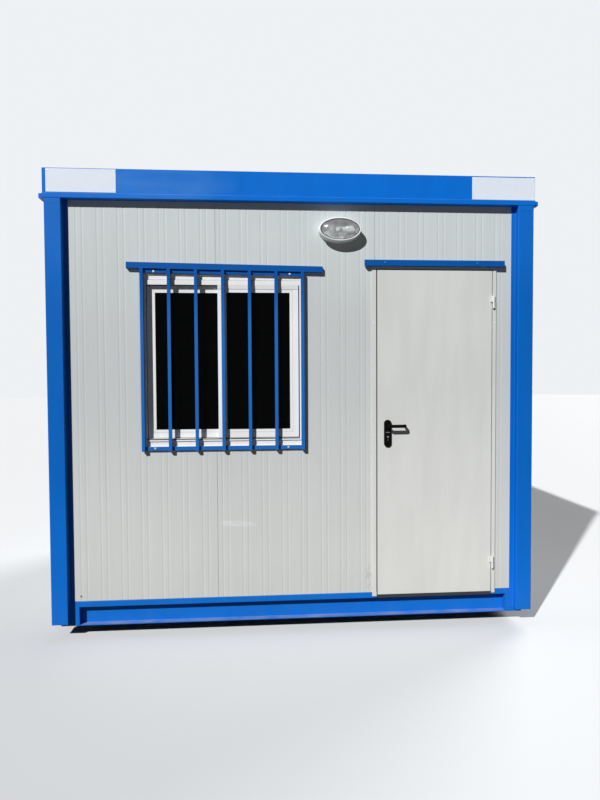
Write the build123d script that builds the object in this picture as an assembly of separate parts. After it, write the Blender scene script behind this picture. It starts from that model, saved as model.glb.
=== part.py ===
from build123d import *
import math
import os

# Portable cabin: a welded frame of folded steel posts, base rails and roof fascias,
# filled with sandwich panels, with one barred sliding window and one door.
# X runs along the front, Y from the front to the back, Z up from the ground.
# The origin is at ground level in the middle of everything the cabin reaches over.

# Overall frame
POST_SPAN_X = 3030.0
POST_SPAN_Y = 2430.0
WALL_HEIGHT = 2500.0
FOOT_HEIGHT = 70.0

# Folded steel posts
POST_FACE = 100.0
POST_LIP = 28.0
POST_STEEL = 3.0
POST_BEND = 5.0
POST_FOOT_RAISE = 25.0
WALL_RECESS = 45.0

# Base rails, an outward C with a lip hanging from its top flange
RAIL_HEIGHT = 154.0
RAIL_DEPTH = 49.0
RAIL_STEEL = 4.0
RAIL_BEND = 6.0
RAIL_LIP = 37.0
CORNER_SIZE = 110.0
CORNER_STEEL = 5.0

# Roof fascia with a drip band along its lower edge
FASCIA_HEIGHT = 181.0
FASCIA_LAP = 34.0
FASCIA_PROUD_FRONT = -6.0
FASCIA_PROUD_SIDE = 9.0
FASCIA_STEEL = 2.5
FASCIA_BEND = 3.5
FASCIA_TOP_FLANGE = 81.0
FASCIA_TOP_LIP = 30.0
BAND_HEIGHT = 30.0
BAND_PROUD_FRONT = 8.0
BAND_PROUD_SIDE = 25.0
BAND_SETBACK_SIDE = 10.0

# Sandwich panels
PANEL_THICKNESS = 40.0
PANEL_MODULE = 1000.0
PANEL_EDGE_CHAMFER = 1.5
GROOVE_PITCH = 125.0
GROOVE_FROM_JOINT = 26.0
GROOVE_PAIR = 37.0
GROOVE_WIDTH = 14.0
GROOVE_SLOPE = 5.0
GROOVE_DEPTH = 0.8
GROOVE_MARGIN = 6.0
ROOF_CORE = 40.0
ROOF_RIB_HEIGHT = 35.0
ROOF_RIB_BASE = 60.0
ROOF_RIB_TOP = 25.0
ROOF_RIB_PITCH = 250.0

# Floor
DECK_THICKNESS = 18.0
JOIST_HEIGHT = 80.0
JOIST_WIDTH = 50.0
JOIST_WALL = 3.0
JOIST_PITCH = 500.0
JOIST_COUNT = 5

# Feet under the side rails
FOOT_STUB = 100.0
FOOT_PLATE = 140.0
FOOT_PLATE_THICKNESS = 8.0
FOOT_FROM_WALL = 400.0

# Window
WINDOW_WIDTH = 1000.0
WINDOW_HEIGHT = 1088.0
WINDOW_FROM_CORNER = 515.0
WINDOW_HEAD_DROP = 468.0
WINDOW_FLANGE_LAP = 10.0
WINDOW_FLANGE_PROUD = 2.0
WINDOW_FRAME_INSIDE = 50.0
WINDOW_JAMB_FACE = 24.5
WINDOW_SILL_FACE = 62.0
WINDOW_HEAD_FACE = 65.0
WINDOW_HEAD_COVER = 8.0
WINDOW_HEAD_STRIP = 29.0
WINDOW_SILL_STRIP = 17.0
WINDOW_RIM = 14.0
WINDOW_FACE_RECESS = 4.0
WINDOW_LINE_WIDTH = 3.0
WINDOW_LINE_DEPTH = 9.0
FIT_GAP = 1.0
SASH_WIDTH = 503.0
SASH_MEMBER = 54.0
SASH_THICKNESS = 20.0
SASH_FRONT = 2.0
SASH_TRACK_PITCH = 24.0
SASH_SIDE_GAP = 6.5
SILL_GROOVE = 8.0
HEAD_GROOVE = 12.0
GLASS_THICKNESS = 5.0
GLASS_REBATE = 8.0

# Window grille
BAR_SIZE = 20.0
BAR_COUNT = 7
BAR_SPAN = 987.0
BAR_TAIL = 3.0
GRILLE_RAIL_HEIGHT = 24.0
GRILLE_RAIL_THICKNESS = 6.0
GRILLE_STANDOFF = 6.0
GRILLE_SPACER_WIDTH = 30.0
GRILLE_SPACER_FROM_END = 92.0
GRILLE_TOP_LAP = 9.0
GRILLE_BOTTOM_LAP = 13.0

# Rain caps, rectangular tubes screwed on above the window and the door
CAP_HEIGHT = 37.0
CAP_DEPTH = 25.0
CAP_WALL = 2.0
WINDOW_CAP_LENGTH = 1207.0
WINDOW_CAP_SHIFT = 17.0
WINDOW_CAP_TILT = 0.88
DOOR_CAP_LENGTH = 899.0
DOOR_CAP_SHIFT = -4.5
DOOR_CAP_LAP = 9.0

# Door
DOOR_FROM_CORNER = 196.0
DOOR_HEAD_DROP = 426.0
LEAF_WIDTH = 744.0
LEAF_BELOW_RAIL_TOP = 14.0
LEAF_THICKNESS = 40.0
LEAF_PROUD = 8.0
LEAF_FLAP = 2.0
LEAF_GAP = 6.0
SWING_GAP = 5.0
JAMB_BODY = 9.0
HEAD_FLANGE_LAP = 16.0
LATCH_FLANGE_LAP = 19.0
HINGE_FLANGE_LAP = 13.0
JAMB_FLANGE_PROUD = 8.0
JAMB_INSIDE = 46.0
JAMB_STOP = 18.0
JAMB_BELOW_RAIL_TOP = 25.0
THRESHOLD_THICKNESS = 3.0
THRESHOLD_FACE = 1.0
THRESHOLD_DROP = 45.0

# Lift-off hinges on the right jamb
HINGE_FROM_LEAF = 9.5
HINGE_RADIUS = 7.0
HINGE_HEIGHT = 78.0
HINGE_SPLIT = 1.0
HINGE_PIN_RADIUS = 4.0
HINGE_PIN_CLEARANCE = 0.1
HINGE_PIN_LENGTH = 32.0
HINGE_BORE_EXTRA = 2.0
HINGE_PLATE = 3.0
HINGE_PACKING = 3.0
HINGE_PLATE_LAP = 12.0
HINGE_PLATE_MARGIN = 3.0
HINGE_AXIS_PROUD = 16.0
HINGE_FROM_TOP = 200.0
HINGE_FROM_BOTTOM = 191.0

# Lever set
HANDLE_ABOVE_LEAF_BOTTOM = 1085.5
HANDLE_FROM_EDGE = 65.0
HANDLE_PLATE_WIDTH = 47.0
HANDLE_PLATE_HEIGHT = 174.0
HANDLE_PLATE_THICKNESS = 8.0
HANDLE_PLATE_ABOVE = 39.0
LOCK_BELOW_SPINDLE = 70.0
LOCK_RADIUS = 8.5
LOCK_PROUD = 3.0
NECK_RADIUS = 9.0
SPINDLE_RADIUS = 5.0
SPINDLE_CLEARANCE = 0.3
LEVER_LENGTH = 113.0
LEVER_HEIGHT = 17.0
LEVER_THICKNESS = 12.0
LEVER_STANDOFF = 26.0
LEVER_RETURN = 20.0
LEVER_CORNER = 5.0

# Oval bulkhead lamp
LAMP_FROM_DOORWAY = 227.4
LAMP_BELOW_FASCIA = 167.5
LAMP_WIDTH = 263.0
LAMP_HEIGHT = 146.0
LAMP_BODY_DEPTH = 55.0
LAMP_RING_DEPTH = 10.0
LAMP_RING_FACE = 11.0
LAMP_RING_LIP = 2.0
LAMP_BODY_TAPER = 8.0
LAMP_DOME_DEPTH = 17.0
LAMP_DOME_STEPS = 3
LAMP_OVAL_SIDES = 72

# Levels and planes that follow from the sizes above
RAIL_BOTTOM = FOOT_HEIGHT
RAIL_TOP = RAIL_BOTTOM + RAIL_HEIGHT
WALL_TOP = RAIL_TOP + WALL_HEIGHT
FASCIA_BOTTOM = WALL_TOP - FASCIA_LAP
FASCIA_TOP = FASCIA_BOTTOM + FASCIA_HEIGHT
FASCIA_REACH_FRONT = WALL_RECESS + FASCIA_PROUD_FRONT
FASCIA_REACH_SIDE = WALL_RECESS + FASCIA_PROUD_SIDE
HALF_X = POST_SPAN_X / 2 - WALL_RECESS
HALF_Y = POST_SPAN_Y / 2 - WALL_RECESS
LAMP_REACH = LAMP_BODY_DEPTH + LAMP_RING_DEPTH + LAMP_DOME_DEPTH
BACK_REACH = max(FASCIA_REACH_FRONT + BAND_PROUD_FRONT, WALL_RECESS)
MIDDLE_Y = (LAMP_REACH - BACK_REACH) / 2
FRONT_Y = MIDDLE_Y - HALF_Y
BACK_Y = MIDDLE_Y + HALF_Y
RAIL_INSIDE = RAIL_DEPTH

WINDOW_LEFT = -HALF_X + WINDOW_FROM_CORNER
WINDOW_RIGHT = WINDOW_LEFT + WINDOW_WIDTH
WINDOW_MIDDLE = (WINDOW_LEFT + WINDOW_RIGHT) / 2
WINDOW_TOP = WALL_TOP - WINDOW_HEAD_DROP
WINDOW_SILL = WINDOW_TOP - WINDOW_HEIGHT
TRACK_LEFT = WINDOW_LEFT + WINDOW_JAMB_FACE
TRACK_RIGHT = WINDOW_RIGHT - WINDOW_JAMB_FACE
TRACK_BOTTOM = WINDOW_SILL + WINDOW_SILL_FACE
TRACK_TOP = WINDOW_TOP - WINDOW_HEAD_FACE

DOOR_OPENING_RIGHT = HALF_X - DOOR_FROM_CORNER
DOOR_OPENING_LEFT = DOOR_OPENING_RIGHT - LEAF_WIDTH - 2 * (LEAF_GAP + JAMB_BODY)
DOOR_OPENING_TOP = WALL_TOP - DOOR_HEAD_DROP
JAMB_BOTTOM = RAIL_TOP - JAMB_BELOW_RAIL_TOP
LEAF_LEFT = DOOR_OPENING_LEFT + JAMB_BODY + LEAF_GAP
LEAF_RIGHT = LEAF_LEFT + LEAF_WIDTH
LEAF_TOP = DOOR_OPENING_TOP - JAMB_BODY - LEAF_GAP
LEAF_BOTTOM = RAIL_TOP - LEAF_BELOW_RAIL_TOP
LEAF_INSIDE = LEAF_THICKNESS - LEAF_PROUD
HINGE_X = LEAF_RIGHT + HINGE_FROM_LEAF
LENGTHWISE_EDGES = (-HALF_X, DOOR_OPENING_LEFT - PANEL_MODULE, DOOR_OPENING_LEFT, HALF_X)
HANDLE_X = LEAF_LEFT + HANDLE_FROM_EDGE
HANDLE_HEIGHT = LEAF_BOTTOM + HANDLE_ABOVE_LEAF_BOTTOM

LAMP_CENTRE_X = DOOR_OPENING_LEFT - LAMP_FROM_DOORWAY
LAMP_CENTRE_Z = FASCIA_BOTTOM - LAMP_BELOW_FASCIA

NODES = {}


def block(x0, x1, y0, y1, z0, z1):
    """Box between two corners."""
    centre = Pos((x0 + x1) / 2, (y0 + y1) / 2, (z0 + z1) / 2)
    return centre * Box(x1 - x0, y1 - y0, z1 - z0)


def folded_bar(points, steel, bend, length):
    """Sheet folded along an outer line in Y and Z, steel on its right, run along X."""
    outer = FilletPolyline(*points, radius=bend)
    section = make_face(Plane.YZ * offset(outer, amount=steel, side=Side.RIGHT))
    return Pos(-length / 2, 0, 0) * extrude(section, amount=length, dir=(1, 0, 0))


def on_front(piece):
    """Move a piece drawn against a wall's outer plane to the front wall."""
    return Pos(0, FRONT_Y, 0) * piece


def on_back(piece):
    """The same for the back wall, where a piece's left becomes the cabin's right."""
    return Pos(0, BACK_Y, 0) * Rot(0, 0, 180) * piece


def on_left(piece):
    return Pos(-HALF_X, MIDDLE_Y, 0) * Rot(0, 0, -90) * piece


def on_right(piece):
    return Pos(HALF_X, MIDDLE_Y, 0) * Rot(0, 0, 90) * piece


SIDES = {"front": on_front, "back": on_back, "left": on_left, "right": on_right}
HALF_LENGTHS = {"front": HALF_X, "back": HALF_X, "left": HALF_Y, "right": HALF_Y}
CORNERS = ("front_left", "front_right", "back_right", "back_left")


def at_corner(piece, corner, reach):
    """Turn a piece drawn inward from the origin into a corner, `reach` past the wall planes."""
    half_x = HALF_X + reach if "right" in corner else -HALF_X - reach
    half_y = HALF_Y + reach if "back" in corner else -HALF_Y - reach
    turn = Rot(0, 0, 90 * CORNERS.index(corner))
    return Pos(half_x, MIDDLE_Y + half_y, 0) * turn * piece


# Corner posts
def post():
    lip_front = WALL_RECESS - POST_STEEL
    lip_end = POST_FACE + POST_LIP
    points = [
        (lip_front, lip_end),
        (lip_front, POST_FACE),
        (0, POST_FACE),
        (0, 0),
        (POST_FACE, 0),
        (POST_FACE, lip_front),
        (lip_end, lip_front),
    ]
    outer = FilletPolyline(*points, radius=POST_BEND)
    section = make_face(offset(outer, amount=POST_STEEL, side=Side.LEFT))
    bottom = RAIL_BOTTOM + POST_FOOT_RAISE
    return Pos(0, 0, bottom) * extrude(section, amount=FASCIA_BOTTOM - bottom, dir=(0, 0, 1))


for corner in CORNERS:
    NODES["post_" + corner] = at_corner(post(), corner, WALL_RECESS)


# Base frame
def base_corner():
    """Hollow corner block, open underneath, that carries the post and the wall's corner."""
    outer = block(0, CORNER_SIZE, 0, CORNER_SIZE, RAIL_BOTTOM, RAIL_TOP)
    low = CORNER_STEEL
    high = CORNER_SIZE - CORNER_STEEL
    return outer - block(low, high, low, high, RAIL_BOTTOM, RAIL_TOP - CORNER_STEEL)


def base_rail(half_length):
    points = [
        (0, RAIL_TOP - RAIL_LIP),
        (0, RAIL_TOP),
        (RAIL_DEPTH, RAIL_TOP),
        (RAIL_DEPTH, RAIL_BOTTOM),
        (0, RAIL_BOTTOM),
    ]
    return folded_bar(points, RAIL_STEEL, RAIL_BEND, 2 * (half_length - CORNER_SIZE))


NODES["base_corners"] = Compound([at_corner(base_corner(), corner, 0) for corner in CORNERS])
for side, place in SIDES.items():
    NODES["base_rail_" + side] = place(base_rail(HALF_LENGTHS[side]))


# Floor
def floor_joists():
    """Tube joists from the front rail to the back rail, under the deck."""
    top = RAIL_TOP - DECK_THICKNESS
    length = 2 * (HALF_Y - RAIL_INSIDE)
    tube = Box(JOIST_WIDTH, length, JOIST_HEIGHT)
    tube -= Box(JOIST_WIDTH - 2 * JOIST_WALL, length, JOIST_HEIGHT - 2 * JOIST_WALL)
    first = -(JOIST_COUNT - 1) / 2 * JOIST_PITCH
    spots = [
        Pos(first + index * JOIST_PITCH, MIDDLE_Y, top - JOIST_HEIGHT / 2)
        for index in range(JOIST_COUNT)
    ]
    return Compound([spot * tube for spot in spots])


def floor_deck():
    half_x = HALF_X - RAIL_INSIDE
    half_y = HALF_Y - RAIL_INSIDE
    deck = block(-half_x, half_x, -half_y, half_y, RAIL_TOP - DECK_THICKNESS, RAIL_TOP)
    deck = Pos(0, MIDDLE_Y, 0) * deck
    notch = block(0, CORNER_SIZE, 0, CORNER_SIZE, RAIL_BOTTOM, RAIL_TOP)
    for corner in CORNERS:
        deck -= at_corner(notch, corner, 0)
    return deck


def foot():
    """Square stub on a plate, under the flange of a side rail."""
    stub = Pos(0, 0, FOOT_HEIGHT / 2) * Box(FOOT_STUB, FOOT_STUB, FOOT_HEIGHT)
    plate = Pos(0, 0, FOOT_PLATE_THICKNESS / 2) * Box(FOOT_PLATE, FOOT_PLATE, FOOT_PLATE_THICKNESS)
    return stub + plate


def feet():
    half_x = HALF_X - FOOT_PLATE / 2
    half_y = HALF_Y - FOOT_FROM_WALL
    spots = [Pos(x, MIDDLE_Y + y, 0) for x in (-half_x, half_x) for y in (-half_y, half_y)]
    return Compound([spot * foot() for spot in spots])


NODES["floor_joists"] = floor_joists()
NODES["floor_deck"] = floor_deck()
NODES["feet"] = feet()


# Roof fascias, mitred where they meet
def fascia(half_length, reach, neighbour_reach, band_proud, band_setback):
    """Folded fascia over one wall, its band closed at both ends."""
    face = -reach
    band = face - band_proud
    half_length += neighbour_reach - reach
    band_top = FASCIA_BOTTOM + BAND_HEIGHT
    inner = face + FASCIA_TOP_FLANGE
    points = [
        (0, FASCIA_BOTTOM),
        (band, FASCIA_BOTTOM),
        (band, band_top),
        (face, band_top),
        (face, FASCIA_TOP),
        (inner, FASCIA_TOP),
        (inner, FASCIA_TOP - FASCIA_TOP_LIP),
    ]
    bar = folded_bar(points, FASCIA_STEEL, FASCIA_BEND, 2 * (half_length - band))
    plan = Polygon(
        (-half_length + band, band),
        (half_length - band, band),
        (half_length - inner, inner),
        (-half_length + inner, inner),
        align=None,
    )
    bar &= Pos(0, 0, FASCIA_BOTTOM) * extrude(plan, amount=FASCIA_HEIGHT)
    band_end = half_length - face - band_setback
    ear = block(band_end, half_length - band, band, face, FASCIA_BOTTOM, band_top)
    closing = block(
        band_end - FASCIA_STEEL,
        band_end,
        band + FASCIA_STEEL / 2,
        face,
        FASCIA_BOTTOM + FASCIA_STEEL / 2,
        band_top - FASCIA_STEEL / 2,
    )
    bar -= ear + mirror(ear, about=Plane.YZ)
    return bar + closing + mirror(closing, about=Plane.YZ)


for side in ("front", "back"):
    bar = fascia(HALF_X, FASCIA_REACH_FRONT, FASCIA_REACH_SIDE, BAND_PROUD_FRONT, 0)
    NODES["fascia_" + side] = SIDES[side](bar)
for side in ("left", "right"):
    bar = fascia(
        HALF_Y, FASCIA_REACH_SIDE, FASCIA_REACH_FRONT, BAND_PROUD_SIDE, BAND_SETBACK_SIDE
    )
    NODES["fascia_" + side] = SIDES[side](bar)


# Roof panels with trapezoidal ribs
def roof_panel(left, right):
    half_base = ROOF_RIB_BASE / 2
    half_top = ROOF_RIB_TOP / 2
    top = WALL_TOP + ROOF_CORE
    crest = top + ROOF_RIB_HEIGHT
    points = [(left, WALL_TOP), (left, top)]
    centre = DOOR_OPENING_LEFT - 2 * PANEL_MODULE + ROOF_RIB_PITCH / 2
    while centre + half_base < right:
        if centre - half_base > left:
            points += [
                (centre - half_base, top),
                (centre - half_top, crest),
                (centre + half_top, crest),
                (centre + half_base, top),
            ]
        centre += ROOF_RIB_PITCH
    points += [(right, top), (right, WALL_TOP)]
    section = make_face(Plane.XZ * Polyline(*points, close=True))
    return Pos(0, FRONT_Y, 0) * extrude(section, amount=2 * HALF_Y, dir=(0, 1, 0))


for name, left, right in zip(("left", "centre", "right"), LENGTHWISE_EDGES, LENGTHWISE_EDGES[1:]):
    NODES["roof_panel_" + name] = roof_panel(left, right)


# Wall panels
def groove_starts(left, right, joint):
    """Left edges of the grooves that fit a panel, in pairs counted from a panel joint."""
    starts = []
    pair = joint - 2 * PANEL_MODULE + GROOVE_FROM_JOINT
    while pair < right:
        for start in (pair, pair + GROOVE_PAIR):
            fits_left = start - GROOVE_MARGIN > left
            fits_right = start + GROOVE_WIDTH + GROOVE_MARGIN < right
            if fits_left and fits_right:
                starts.append(start)
        pair += GROOVE_PITCH
    return starts


def wall_panel(left, right, joint, bottom=RAIL_TOP, top=WALL_TOP):
    """Panel with a flat inside and, outside, chamfered edges and pairs of shallow grooves."""
    edge = PANEL_EDGE_CHAMFER
    points = [(left, PANEL_THICKNESS), (left, edge), (left + edge, 0)]
    for start in groove_starts(left, right, joint):
        end = start + GROOVE_WIDTH
        points += [
            (start, 0),
            (start + GROOVE_SLOPE, GROOVE_DEPTH),
            (end - GROOVE_SLOPE, GROOVE_DEPTH),
            (end, 0),
        ]
    points += [(right - edge, 0), (right, edge), (right, PANEL_THICKNESS)]
    section = make_face(Polyline(*points, close=True))
    return Pos(0, 0, bottom) * extrude(section, amount=top - bottom, dir=(0, 0, 1))


def window_hole():
    lap = WINDOW_FLANGE_LAP - FIT_GAP
    return block(
        WINDOW_LEFT + lap,
        WINDOW_RIGHT - lap,
        0,
        PANEL_THICKNESS,
        WINDOW_SILL + lap,
        WINDOW_TOP - lap,
    )


wall_start, window_joint, door_joint, wall_end = LENGTHWISE_EDGES
NODES["wall_front_left"] = on_front(
    wall_panel(wall_start, window_joint, window_joint) - window_hole()
)
NODES["wall_front_centre"] = on_front(
    wall_panel(window_joint, door_joint, window_joint) - window_hole()
)
NODES["wall_front_over_door"] = on_front(
    wall_panel(door_joint, wall_end, door_joint, bottom=DOOR_OPENING_TOP)
)
NODES["wall_front_right"] = on_front(
    wall_panel(DOOR_OPENING_RIGHT, wall_end, door_joint, top=DOOR_OPENING_TOP)
)
back_edges = [-edge for edge in reversed(LENGTHWISE_EDGES)]
for name, left, right in zip(("right", "centre", "left"), back_edges, back_edges[1:]):
    NODES["wall_back_" + name] = on_back(wall_panel(left, right, back_edges[1]))
side_end = HALF_Y - PANEL_THICKNESS
side_joint = PANEL_MODULE / 2
side_edges = (-side_end, -side_joint, side_joint, side_end)
for name, left, right in zip(("rear", "middle", "front"), side_edges, side_edges[1:]):
    NODES["wall_left_" + name] = on_left(wall_panel(left, right, side_joint))
for name, left, right in zip(("front", "middle", "rear"), side_edges, side_edges[1:]):
    NODES["wall_right_" + name] = on_right(wall_panel(left, right, side_joint))


# Sliding window
def face_channel(strip_edge, rim_edge):
    """Recess across the frame's face from its inner strip to its rim, with a deeper line."""
    outward = math.copysign(WINDOW_LINE_WIDTH, rim_edge - strip_edge)
    left = WINDOW_LEFT + WINDOW_RIM
    right = WINDOW_RIGHT - WINDOW_RIM
    channel = None
    for far_edge, depth in ((rim_edge, WINDOW_FACE_RECESS), (strip_edge + outward, WINDOW_LINE_DEPTH)):
        low, high = sorted((strip_edge, far_edge))
        cut = block(left, right, -WINDOW_FLANGE_PROUD, depth, low, high)
        channel = cut if channel is None else channel + cut
    return channel


def window_frame():
    """Flanged frame with a groove for each sash in its head and its sill."""
    lap = WINDOW_FLANGE_LAP
    body = block(
        WINDOW_LEFT + lap,
        WINDOW_RIGHT - lap,
        0,
        WINDOW_FRAME_INSIDE,
        WINDOW_SILL + lap,
        WINDOW_TOP - lap,
    )
    flange = block(WINDOW_LEFT, WINDOW_RIGHT, -WINDOW_FLANGE_PROUD, 0, WINDOW_SILL, WINDOW_TOP)
    clear = block(
        TRACK_LEFT,
        TRACK_RIGHT,
        -WINDOW_FLANGE_PROUD,
        WINDOW_FRAME_INSIDE,
        TRACK_BOTTOM,
        TRACK_TOP,
    )
    frame = flange + body - clear
    cover_bottom = TRACK_TOP - WINDOW_HEAD_COVER
    cover_back = SASH_FRONT - FIT_GAP
    frame += block(
        TRACK_LEFT, TRACK_RIGHT, -WINDOW_FLANGE_PROUD, cover_back, cover_bottom, TRACK_TOP
    )
    frame -= face_channel(cover_bottom + WINDOW_HEAD_STRIP, WINDOW_TOP - WINDOW_RIM)
    frame -= face_channel(TRACK_BOTTOM - WINDOW_SILL_STRIP, WINDOW_SILL + WINDOW_RIM)
    for front in (SASH_FRONT, SASH_FRONT + SASH_TRACK_PITCH):
        frame -= block(
            TRACK_LEFT,
            TRACK_RIGHT,
            front - FIT_GAP,
            front + SASH_THICKNESS + FIT_GAP,
            TRACK_BOTTOM - SILL_GROOVE,
            TRACK_TOP + HEAD_GROOVE,
        )
    return frame


def sash_light(left, front, thickness, rebate):
    """Block filling a sash's opening, widened by the rebate on all sides."""
    member = SASH_MEMBER - rebate
    middle = front + SASH_THICKNESS / 2
    return block(
        left + member,
        left + SASH_WIDTH - member,
        middle - thickness / 2,
        middle + thickness / 2,
        TRACK_BOTTOM + member,
        TRACK_TOP - member,
    )


def glass(left, front):
    return sash_light(left, front, GLASS_THICKNESS, GLASS_REBATE)


def sash(left, front):
    """Sash ring in its two grooves, rebated for the glass."""
    bottom = TRACK_BOTTOM - SILL_GROOVE
    top = TRACK_TOP + HEAD_GROOVE / 2
    ring = block(left, left + SASH_WIDTH, front, front + SASH_THICKNESS, bottom, top)
    return ring - sash_light(left, front, SASH_THICKNESS, 0) - glass(left, front)


right_sash = (TRACK_RIGHT - SASH_SIDE_GAP - SASH_WIDTH, SASH_FRONT)
left_sash = (TRACK_LEFT, SASH_FRONT + SASH_TRACK_PITCH)
NODES["window_frame"] = on_front(window_frame())
NODES["sash_left"] = on_front(sash(*left_sash))
NODES["sash_right"] = on_front(sash(*right_sash))
NODES["glass_left"] = on_front(glass(*left_sash))
NODES["glass_right"] = on_front(glass(*right_sash))


# Window grille and its cap, both fitted slightly out of level
def tilted(piece, centre_x, centre_z):
    turn = Pos(centre_x, 0, centre_z) * Rot(0, WINDOW_CAP_TILT, 0) * Pos(-centre_x, 0, -centre_z)
    return turn * piece


GRILLE_TOP = WINDOW_TOP - GRILLE_TOP_LAP + GRILLE_RAIL_HEIGHT
GRILLE_BOTTOM = WINDOW_SILL + GRILLE_BOTTOM_LAP - GRILLE_RAIL_HEIGHT


def window_grille():
    """Bars on two rails, which stand off the window frame on spacers."""
    frame_face = -WINDOW_FLANGE_PROUD
    rail_back = frame_face - GRILLE_STANDOFF
    rail_front = rail_back - GRILLE_RAIL_THICKNESS
    bar_front = rail_front - BAR_SIZE
    left = WINDOW_MIDDLE - BAR_SPAN / 2 - BAR_SIZE / 2
    right = WINDOW_MIDDLE + BAR_SPAN / 2 + BAR_SIZE / 2
    rail = block(left, right, rail_front, rail_back, 0, GRILLE_RAIL_HEIGHT)
    for middle in (left + GRILLE_SPACER_FROM_END, right - GRILLE_SPACER_FROM_END):
        rail += block(
            middle - GRILLE_SPACER_WIDTH / 2,
            middle + GRILLE_SPACER_WIDTH / 2,
            rail_back,
            frame_face,
            0,
            GRILLE_RAIL_HEIGHT,
        )
    top_rail = Pos(0, 0, GRILLE_TOP - GRILLE_RAIL_HEIGHT) * rail
    grille = tilted(top_rail, WINDOW_MIDDLE, GRILLE_TOP)
    grille += Pos(0, 0, GRILLE_BOTTOM) * rail
    slope = BAR_SIZE + BAR_SPAN
    above = block(left - slope, right + slope, bar_front, rail_front, GRILLE_TOP, GRILLE_TOP + slope)
    above = tilted(above, WINDOW_MIDDLE, GRILLE_TOP)
    for index in range(BAR_COUNT):
        centre = WINDOW_MIDDLE - BAR_SPAN / 2 + index * BAR_SPAN / (BAR_COUNT - 1)
        low = GRILLE_BOTTOM - BAR_TAIL
        bar = block(
            centre - BAR_SIZE / 2,
            centre + BAR_SIZE / 2,
            bar_front,
            rail_front,
            low,
            GRILLE_TOP + BAR_SIZE,
        )
        grille += bar - above
    return grille


def rain_cap(length):
    """Rectangular tube with its back on the wall and its underside at zero height."""
    outer = block(-length / 2, length / 2, -CAP_DEPTH, 0, 0, CAP_HEIGHT)
    inner = block(
        -length / 2,
        length / 2,
        CAP_WALL - CAP_DEPTH,
        -CAP_WALL,
        CAP_WALL,
        CAP_HEIGHT - CAP_WALL,
    )
    return outer - inner


window_cap = Pos(WINDOW_MIDDLE + WINDOW_CAP_SHIFT, 0, GRILLE_TOP) * rain_cap(WINDOW_CAP_LENGTH)
NODES["window_grille"] = on_front(window_grille())
NODES["window_cap"] = on_front(tilted(window_cap, WINDOW_MIDDLE, GRILLE_TOP))


# Doorway
def door_frame():
    """Jambs and head with a flange outside the wall and a stop behind the leaf."""
    flange_left = DOOR_OPENING_LEFT - LATCH_FLANGE_LAP
    flange_right = DOOR_OPENING_RIGHT + HINGE_FLANGE_LAP
    flange_top = DOOR_OPENING_TOP + HEAD_FLANGE_LAP
    clear_left = LEAF_LEFT - LEAF_GAP
    clear_right = LEAF_RIGHT + LEAF_GAP
    clear_top = LEAF_TOP + LEAF_GAP
    flange = block(flange_left, flange_right, -JAMB_FLANGE_PROUD, 0, JAMB_BOTTOM, flange_top)
    flange -= block(clear_left, clear_right, -JAMB_FLANGE_PROUD, 0, JAMB_BOTTOM, clear_top)
    body = block(DOOR_OPENING_LEFT, DOOR_OPENING_RIGHT, 0, JAMB_INSIDE, RAIL_TOP, DOOR_OPENING_TOP)
    stop_front = LEAF_INSIDE + SWING_GAP
    body -= block(clear_left, clear_right, 0, stop_front, RAIL_TOP, clear_top)
    body -= block(
        clear_left + JAMB_STOP,
        clear_right - JAMB_STOP,
        stop_front,
        JAMB_INSIDE,
        RAIL_TOP,
        clear_top - JAMB_STOP,
    )
    return flange + body


def door_threshold():
    """Aluminium angle over the base rail's lip, between the jambs."""
    left = LEAF_LEFT - LEAF_GAP
    right = LEAF_RIGHT + LEAF_GAP
    tread = block(
        left, right, -THRESHOLD_FACE, LEAF_INSIDE, RAIL_TOP, RAIL_TOP + THRESHOLD_THICKNESS
    )
    face = block(left, right, -THRESHOLD_FACE, 0, RAIL_TOP - THRESHOLD_DROP, RAIL_TOP)
    return tread + face


door_cap_bottom = DOOR_OPENING_TOP + HEAD_FLANGE_LAP - DOOR_CAP_LAP
door_cap_middle = (DOOR_OPENING_LEFT + DOOR_OPENING_RIGHT) / 2 + DOOR_CAP_SHIFT
NODES["door_frame"] = on_front(door_frame())
NODES["door_threshold"] = on_front(door_threshold())
NODES["door_cap"] = on_front(
    Pos(door_cap_middle, -JAMB_FLANGE_PROUD, door_cap_bottom) * rain_cap(DOOR_CAP_LENGTH)
)


# Door leaf
def door_leaf():
    """Flat leaf whose outer skin hangs over the threshold."""
    body_bottom = RAIL_TOP + THRESHOLD_THICKNESS + SWING_GAP
    leaf = block(LEAF_LEFT, LEAF_RIGHT, -LEAF_PROUD, LEAF_INSIDE, body_bottom, LEAF_TOP)
    flap_back = LEAF_FLAP - LEAF_PROUD
    leaf += block(LEAF_LEFT, LEAF_RIGHT, -LEAF_PROUD, flap_back, LEAF_BOTTOM, body_bottom)
    bore = Cylinder(SPINDLE_RADIUS + SPINDLE_CLEARANCE, 3 * LEAF_THICKNESS)
    return leaf - Pos(HANDLE_X, 0, HANDLE_HEIGHT) * Rot(90, 0, 0) * bore


HINGE_SPOTS = (LEAF_TOP - HINGE_FROM_TOP, LEAF_BOTTOM + HINGE_FROM_BOTTOM)


def hinge_half_on_frame(middle):
    """Lower knuckle with its pin and a plate welded to the jamb's face."""
    low = middle - HINGE_HEIGHT / 2
    top = middle - HINGE_SPLIT / 2
    knuckle = extrude(Circle(HINGE_RADIUS), amount=top - low)
    knuckle += extrude(Circle(HINGE_PIN_RADIUS), amount=top - low + HINGE_PIN_LENGTH)
    plate_right = DOOR_OPENING_RIGHT + HINGE_FLANGE_LAP - HINGE_PLATE_MARGIN
    plate_back = -JAMB_FLANGE_PROUD
    plate = block(HINGE_X, plate_right, plate_back - HINGE_PLATE, plate_back, low, top)
    return Pos(HINGE_X, -HINGE_AXIS_PROUD, low) * knuckle + plate


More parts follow.
